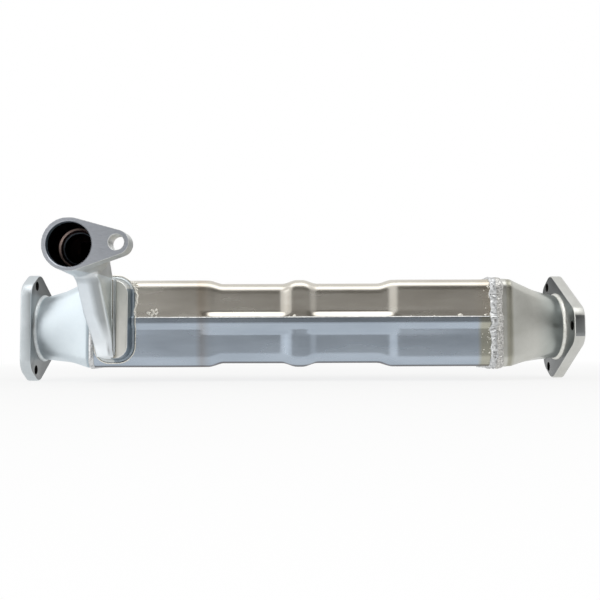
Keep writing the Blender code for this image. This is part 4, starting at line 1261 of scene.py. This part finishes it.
def pad_weld(
    name, x_low, x_high, side, draft, outset, lean, width, height, lump, seed, finishes, radii,
):
    """A run round a pad on the shells' wall: the fillet itself, or with lean 0 its flat toe."""
    half_x = (x_high - x_low) / 2 + draft + outset
    half_z = (PAD_TOP - PAD_BOTTOM) / 2 + draft + outset
    wider = [r + draft + outset for r in radii]
    outline = even_points(round_rectangle(half_x, half_z, wider, 12), 300, True)
    middle_x = (x_low + x_high) / 2
    stations = []
    for i, point in enumerate(outline):
        square = outward(outline, i)
        flat = Vector((square.x, 0, square.y))
        z = point.y + MIDDLE_Z
        y = side * (BODY_HALF_WIDTH + 0.0006 * lean + LIP_OFFSET * on_lip(z))
        normal = Vector((0, side, 0))
        out = (flat * lean + normal).normalized()
        across = (flat - normal * lean).normalized()
        stations.append((Vector((point.x + middle_x, y, z)), out, across))
    bm = bmesh.new()
    weld_run(
        bm, stations, width, height, sink=0.0010, lump=lump, seed=seed, ripple=0.1 * lump, pitch=0.0036,
    )
    weld = dressed_weld(name, bm, finishes)
    # The top and left of the run take the last finish; the rest keeps the first, on the casting's pad a
    # painted shade.
    for face in weld.data.polygons:
        if face.center.z > PAD_TOP - PAD_CORNERS[1] * 0.6 or face.center.x < middle_x:
            face.material_index = len(finishes) - 1
    return weld


def ragged_toe(name, path, seed):
    """The uneven edge of the pad's weld on the shell's front wall, along (x, z) points."""
    points = even_points([Vector((x, z)) for x, z in path], 160, False)
    stations = []
    for i, point in enumerate(points):
        ahead = points[min(i + 1, len(points) - 1)] - points[max(i - 1, 0)]
        across = Vector((ahead.y, 0, -ahead.x)).normalized()
        stations.append((wall_spot(point.x, point.y), Vector((0, -1, 0)), across))
    bm = bmesh.new()
    weld_run(
        bm, stations, width=0.0026, height=0.0010, sink=0.0006, lump=1.2, seed=seed, closed=False,
        froth=0.6,
    )
    return dressed_weld(name, bm, [speck_finish])


# The coolant outlet spigot


def outlet_spigot():
    back_y = BODY_HALF_WIDTH + GAP
    tip = SPIGOT_PAD_THICKNESS + SPIGOT_LENGTH
    bead_at = tip - SPIGOT_RADIUS / 3
    bead = SPIGOT_RADIUS + SPIGOT_BEAD
    half_bead = 1.5 * SPIGOT_BEAD
    foot = SPIGOT_PAD_THICKNESS
    centre = (SPIGOT_X, back_y, MIDDLE_Z)
    profile = [
        (0, foot / 2), (SPIGOT_RADIUS + 0.0040, foot / 2), (SPIGOT_RADIUS + 0.0040, foot + 0.0002),
        (SPIGOT_RADIUS + 0.0018, foot + 0.0010), (SPIGOT_RADIUS + 0.0006, foot + 0.0024),
        (SPIGOT_RADIUS, foot + 0.0044), (SPIGOT_RADIUS, bead_at - half_bead),
        (SPIGOT_RADIUS + 0.0011, bead_at - 0.6 * half_bead), (bead, bead_at),
        (SPIGOT_RADIUS + 0.0011, bead_at + 0.6 * half_bead), (SPIGOT_RADIUS, bead_at + half_bead),
        (SPIGOT_RADIUS, tip - 0.0008), (SPIGOT_RADIUS - 0.0008, tip), (0, tip),
    ]
    tube = turned_tool("tube", profile, centre, (0, 1, 0), 128)
    bm = bmesh.new()
    bm.from_mesh(tube.data)
    bpy.data.objects.remove(tube, do_unlink=True)
    rounded_pad(
        bm, SPIGOT_X - SPIGOT_PAD_HALF, SPIGOT_X + SPIGOT_PAD_HALF, back_y - 0.0012,
        back_y + SPIGOT_PAD_THICKNESS, PAD_DRAFT / 2, SPIGOT_PAD_CORNERS,
    )
    bmesh.ops.recalc_face_normals(bm, faces=bm.faces)
    spigot = new_object("coolant_hose_spigot", bm)
    cast_skin(spigot, 0.0007, 4)
    inner = SPIGOT_RADIUS - SPIGOT_WALL
    edge = 0.0010
    past = 0.006
    profile = [
        (0, -past), (inner, -past), (inner, tip - edge), (inner + edge, tip),
        (inner + edge, tip + past), (0, tip + past),
    ]
    bore = turned_tool("bore_tool", profile, centre, (0, 1, 0), 96)
    wide = 0.09
    behind = back_y - 0.01
    seat = block("seat_tool", (SPIGOT_X - wide, behind, -wide), (SPIGOT_X + wide, back_y, wide))
    machine(spigot, [seat, bore, lip_relief(SPIGOT_X - wide, SPIGOT_X + wide, 1)])
    dress(spigot, [cast_finish], 40.0)
    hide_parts("coolant_outlet_spigot")


# Spatter


def spatter(name, spots, seed):
    """Small round beads of weld metal stuck to the surface: (place, outwards, radius)."""
    dice = random.Random(seed)
    bm = bmesh.new()
    for place, out, radius in spots:
        out = Vector(out).normalized()
        turn = out.to_track_quat("Z", "Y").to_matrix().to_4x4()
        flat = Matrix.Diagonal((1.0, dice.uniform(0.7, 1.1), dice.uniform(0.45, 0.8), 1.0))
        where = Matrix.Translation(Vector(place)) @ turn @ flat
        made = bmesh.ops.create_icosphere(bm, subdivisions=2, radius=radius, matrix=where)
        for vert in made["verts"]:
            vert.co += out * 0.2 * radius * noise.noise(vert.co * 900.0)
    return dress(new_object(name, bm), [speck_finish], 70.0)


def wall_spot(x, z):
    """The place on the front wall at a length and height."""
    upper = z > JOINT_Z
    seam = JOINT_Z + SEAM_MARGIN if upper else JOINT_Z - LIP_HEIGHT - LIP_JOGGLE
    beyond = (z - seam) if upper else (seam - z)
    depth = band_depth(x, SIDE_BANDS) * folded(beyond / RECESS_SLOPE)
    return Vector((x, -BODY_HALF_WIDTH + depth, z))


def scattered_spots():
    """Where spatter sits on the front: beside the pad, along the joint and by the outlet weld."""
    dice = random.Random(41)
    spots = []

    def throw(count, x, z, size):
        for _ in range(count):
            place = wall_spot(dice.uniform(*x), dice.uniform(*z))
            spots.append((place, (0, -1, 0), dice.uniform(*size)))

    pad_edge = PAD_RIGHT + PAD_DRAFT
    outlet_edge = SHELL_END - 0.0075
    throw(30, (pad_edge + 0.0002, pad_edge + 0.0048), (0.033, 0.0465), (0.0004, 0.0014))
    throw(16, (pad_edge + 0.0010, pad_edge + 0.0052), (0.012, 0.033), (0.0003, 0.0010))
    throw(18, (0.129, 0.142), (JOINT_Z + 0.0006, JOINT_Z + 0.0062), (0.0005, 0.0015))
    throw(10, (0.133, 0.139), (JOINT_Z + 0.0030, JOINT_Z + 0.0085), (0.0005, 0.0013))
    throw(3, (0.276, 0.281), (JOINT_Z + 0.0006, JOINT_Z + 0.0030), (0.0011, 0.0017))
    throw(3, (0.443, 0.448), (JOINT_Z + 0.0010, JOINT_Z + 0.0030), (0.0014, 0.0021))
    throw(2, (0.469, 0.473), (JOINT_Z + 0.0010, JOINT_Z + 0.0040), (0.0010, 0.0016))
    throw(5, (0.160, 0.440), (JOINT_Z + 0.0004, JOINT_Z + 0.0012), (0.0005, 0.0010))
    throw(34, (outlet_edge - 0.0030, outlet_edge + 0.001), (-0.034, 0.044), (0.0003, 0.0009))
    throw(8, (outlet_edge - 0.0090, outlet_edge - 0.002), (-0.034, 0.044), (0.0003, 0.0007))
    return spots


gas_flange("inlet_bolt_flange", "inlet_gas_flange", 0.0, 1, 1, inlet_flange_painted_light_finish)
gas_flange("outlet_bolt_flange", "outlet_gas_flange", OVERALL_LENGTH, -1, -1, flange_finish)
neck_weld("inlet_neck_weld", FLANGE_THICKNESS, 1, 1, pale_weld_finish)
neck_weld("outlet_neck_weld", OVERALL_LENGTH - FLANGE_THICKNESS, -1, 2, cream_weld_finish)
gas_cone(
    "inlet_formed_cone", "inlet_cone", 0.0, SHELL_START, INLET_COLLAR, neck_blend=0.10, step=0.0,
    finish=inlet_cone_painted_shading_finish,
)
gas_cone(
    "outlet_formed_cone", "outlet_cone", OVERALL_LENGTH, SHELL_END, OUTLET_COLLAR, neck_blend=0.14,
    step=0.0006, finish=outlet_cone_painted_shade_finish,
)
shell_half("upper_pressed_shell", "upper_shell", True, shell_windows(), upper_shell_painted_light_finish)
shell_half("lower_pressed_shell", "lower_shell", False, shell_windows(), lower_shell_painted_shade_finish)
girth_weld(
    "inlet_girth_weld", "inlet_weld_bead", SHELL_START + 0.0004, width=0.0054, height=0.0014,
    lump=0.16, ripple=0.05, pitch=0.0034, seed=3, finish=bright_weld_finish,
)
girth_weld(
    "outlet_girth_weld", "outlet_weld_bead", SHELL_END - 0.0030, width=0.0078, height=0.0023,
    lump=0.80, ripple=0.06, pitch=0.0062, seed=4, finish=bright_weld_finish,
)
girth_weld(
    "outlet_cap_weld", None, SHELL_END + 0.0026, width=0.0084, height=0.0020, lump=0.60,
    ripple=0.04, pitch=0.0030, seed=7, finish=rough_weld_finish, froth=0.22,
)
joint_braze(
    "joint_braze",
    (
        (PAD_RIGHT + 0.0040, SHELL_END - 0.0070, -1),
        (SHELL_START + 0.0040, SPIGOT_X - SPIGOT_PAD_HALF - 0.0030, 1),
        (SPIGOT_X + SPIGOT_PAD_HALF + 0.0030, SHELL_END - 0.0070, 1),
    ),
    9,
)
coolant_casting()
pad_weld(
    "casting_pad_weld", PAD_LEFT, PAD_RIGHT, -1, PAD_DRAFT, outset=0.0006, lean=1.0, width=0.0040,
    height=0.0012, lump=0.10, seed=5, finishes=[pad_weld_painted_shade_finish, pale_weld_finish],
    radii=PAD_CORNERS,
)
pad_weld(
    "casting_pad_weld_toe", PAD_LEFT, PAD_RIGHT, -1, PAD_DRAFT, outset=0.0030, lean=0.0,
    width=0.0014, height=0.0006, lump=0.60, seed=8, finishes=[speck_finish], radii=PAD_CORNERS,
)
outlet_spigot()
pad_weld(
    "spigot_pad_weld", SPIGOT_X - SPIGOT_PAD_HALF, SPIGOT_X + SPIGOT_PAD_HALF, 1, PAD_DRAFT / 2,
    outset=0.0006, lean=1.0, width=0.0040, height=0.0012, lump=0.14, seed=6,
    finishes=[cream_weld_finish], radii=SPIGOT_PAD_CORNERS,
)
ragged_toe(
    "casting_weld_ragged_edge",
    (
        (0.1120, 0.0462), (0.1150, 0.0425), (0.1172, 0.0375), (0.1190, 0.0325), (0.1180, 0.0250),
        (0.1162, 0.0175), (0.1158, 0.0118),
    ),
    21,
)
spatter("weld_spatter", scattered_spots(), 17)

for name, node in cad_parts.items():
    if name.startswith("tube_fin"):
        finish = fin_finish
    elif node.hide_render:
        continue
    else:
        finish = tube_finish
    node.data.materials.clear()
    node.data.materials.append(finish)


# Stage, light and camera


def stage_sheet(name, corners, colour, seen, mirrored):
    """A flat dull stage sheet; seen and mirrored are its white's shares near, far and where."""
    bm = bmesh.new()
    bm.faces.new([bm.verts.new(c) for c in corners])
    thing = new_object(name, bm)
    material = bpy.data.materials.new(name)
    material.use_nodes = True
    tree = material.node_tree
    tree.nodes.clear()
    dull = add(tree, "ShaderNodeBsdfDiffuse", values={"Color": steel_colour(colour)})
    white = add(tree, "ShaderNodeEmission", values={"Strength": 1.0})
    path = add(tree, "ShaderNodeLightPath")
    place = add(tree, "ShaderNodeTexCoord").outputs["Object"]
    from_middle = add(
        tree, "ShaderNodeMapping", {"Vector": place},
        {"Location": (-OVERALL_LENGTH / 4, 0.0, 0.0), "Scale": (0.5, 1.0, 0.0)},
    ).outputs["Vector"]
    distance = add(
        tree, "ShaderNodeVectorMath", {0: from_middle}, operation="LENGTH",
    ).outputs["Value"]
    share = None
    for ray, (near, far, reach) in (
        ("Is Camera Ray", seen), ("Is Transmission Ray", seen), ("Is Glossy Ray", mirrored),
    ):
        glow = add(
            tree, "ShaderNodeMapRange", {"Value": distance},
            {"From Min": 0.10, "From Max": reach, "To Min": near, "To Max": far},
        )
        this = add(
            tree, "ShaderNodeMath", {0: path.outputs[ray], 1: glow.outputs["Result"]},
            operation="MULTIPLY",
        ).outputs["Value"]
        if share:
            this = add(
                tree, "ShaderNodeMath", {0: share, 1: this}, operation="MAXIMUM",
            ).outputs["Value"]
        share = this
    mixed = add(
        tree, "ShaderNodeMixShader", {0: share, 1: dull.outputs["BSDF"], 2: white.outputs["Emission"]},
    )
    add(tree, "ShaderNodeOutputMaterial", {"Surface": mixed.outputs["Shader"]})
    thing.data.materials.append(material)
    return thing


floor_z = cad_box[0].z


def wall_sheet(name, x_low, x_high, y, top, colour, glow):
    """An upright sheet of the room round the object, which only its reflections show."""
    corners = ((x_low, y, floor_z), (x_high, y, floor_z), (x_high, y, top), (x_low, y, top))
    even = (glow, glow, 1.0)
    stage_sheet(name, corners, colour, even, even).visible_camera = False


stage_sheet(
    "floor", ((-6, -6, floor_z), (6.5, -6, floor_z), (6.5, 6, floor_z), (-6, 6, floor_z)),
    "#F4F4F2", (0.82, 1.0, 0.70), (0.86, 1.0, 0.30),
)
wall_sheet("room_front", -0.75, 2.4, -3.0, 2.6, "#7A766F", 0.10)
wall_sheet("room_right", 2.4, 7.0, -3.0, 2.6, "#8A8884", 0.55)
wall_sheet("room_back", -2.6, 3.2, 1.7, 0.60, "#8A8C8C", 0.22)

world = bpy.data.worlds.new("studio")
bpy.context.scene.world = world
world.use_nodes = True
sky = world.node_tree
sky.nodes.clear()
rays = add(sky, "ShaderNodeLightPath")
seen = add(
    sky, "ShaderNodeMath",
    {0: rays.outputs["Is Camera Ray"], 1: rays.outputs["Is Glossy Ray"]}, operation="MAXIMUM",
)
seen = add(
    sky, "ShaderNodeMath",
    {0: seen.outputs["Value"], 1: rays.outputs["Is Transmission Ray"]}, operation="MAXIMUM",
)
strength = add(
    sky, "ShaderNodeMapRange", {"Value": seen.outputs["Value"]}, {"To Min": 0.5, "To Max": 1.0},
)
glow = add(sky, "ShaderNodeBackground", {"Strength": strength.outputs["Result"]}, {"Color": grey(1.0)})
add(sky, "ShaderNodeOutputWorld", {"Surface": glow.outputs["Background"]})


def softbox(name, place, target, size, power):
    lamp = bpy.data.lights.new(name, "AREA")
    lamp.shape = "RECTANGLE"
    lamp.size, lamp.size_y = size
    lamp.energy = power
    thing = bpy.data.objects.new(name, lamp)
    thing.location = place
    thing.rotation_euler = (Vector(target) - Vector(place)).to_track_quat("-Z", "Y").to_euler()
    bpy.context.scene.collection.objects.link(thing)


softbox("overhead_softbox", (0.28, -0.62, 1.3), (0.28, -0.62, 0.0), (1.8, 0.9), 6.6)
softbox("left_softbox", (-1.25, -1.05, 0.40), (0.1, 0.0, 0.0), (0.9, 1.0), 3.2)

camera = bpy.data.cameras.new("photo_camera")
camera.sensor_width = 36.0
camera.lens = 45.3
eye = bpy.data.objects.new("photo_camera", camera)
tilt = Matrix.Rotation(math.radians(93.0), 4, "X")
roll = Matrix.Rotation(math.radians(-0.2), 4, "Z")
eye.matrix_world = Matrix.Translation((0.284, -0.808, -0.013)) @ tilt @ roll
bpy.context.scene.collection.objects.link(eye)
bpy.context.scene.camera = eye
bpy.context.scene.view_settings.view_transform = "Standard"
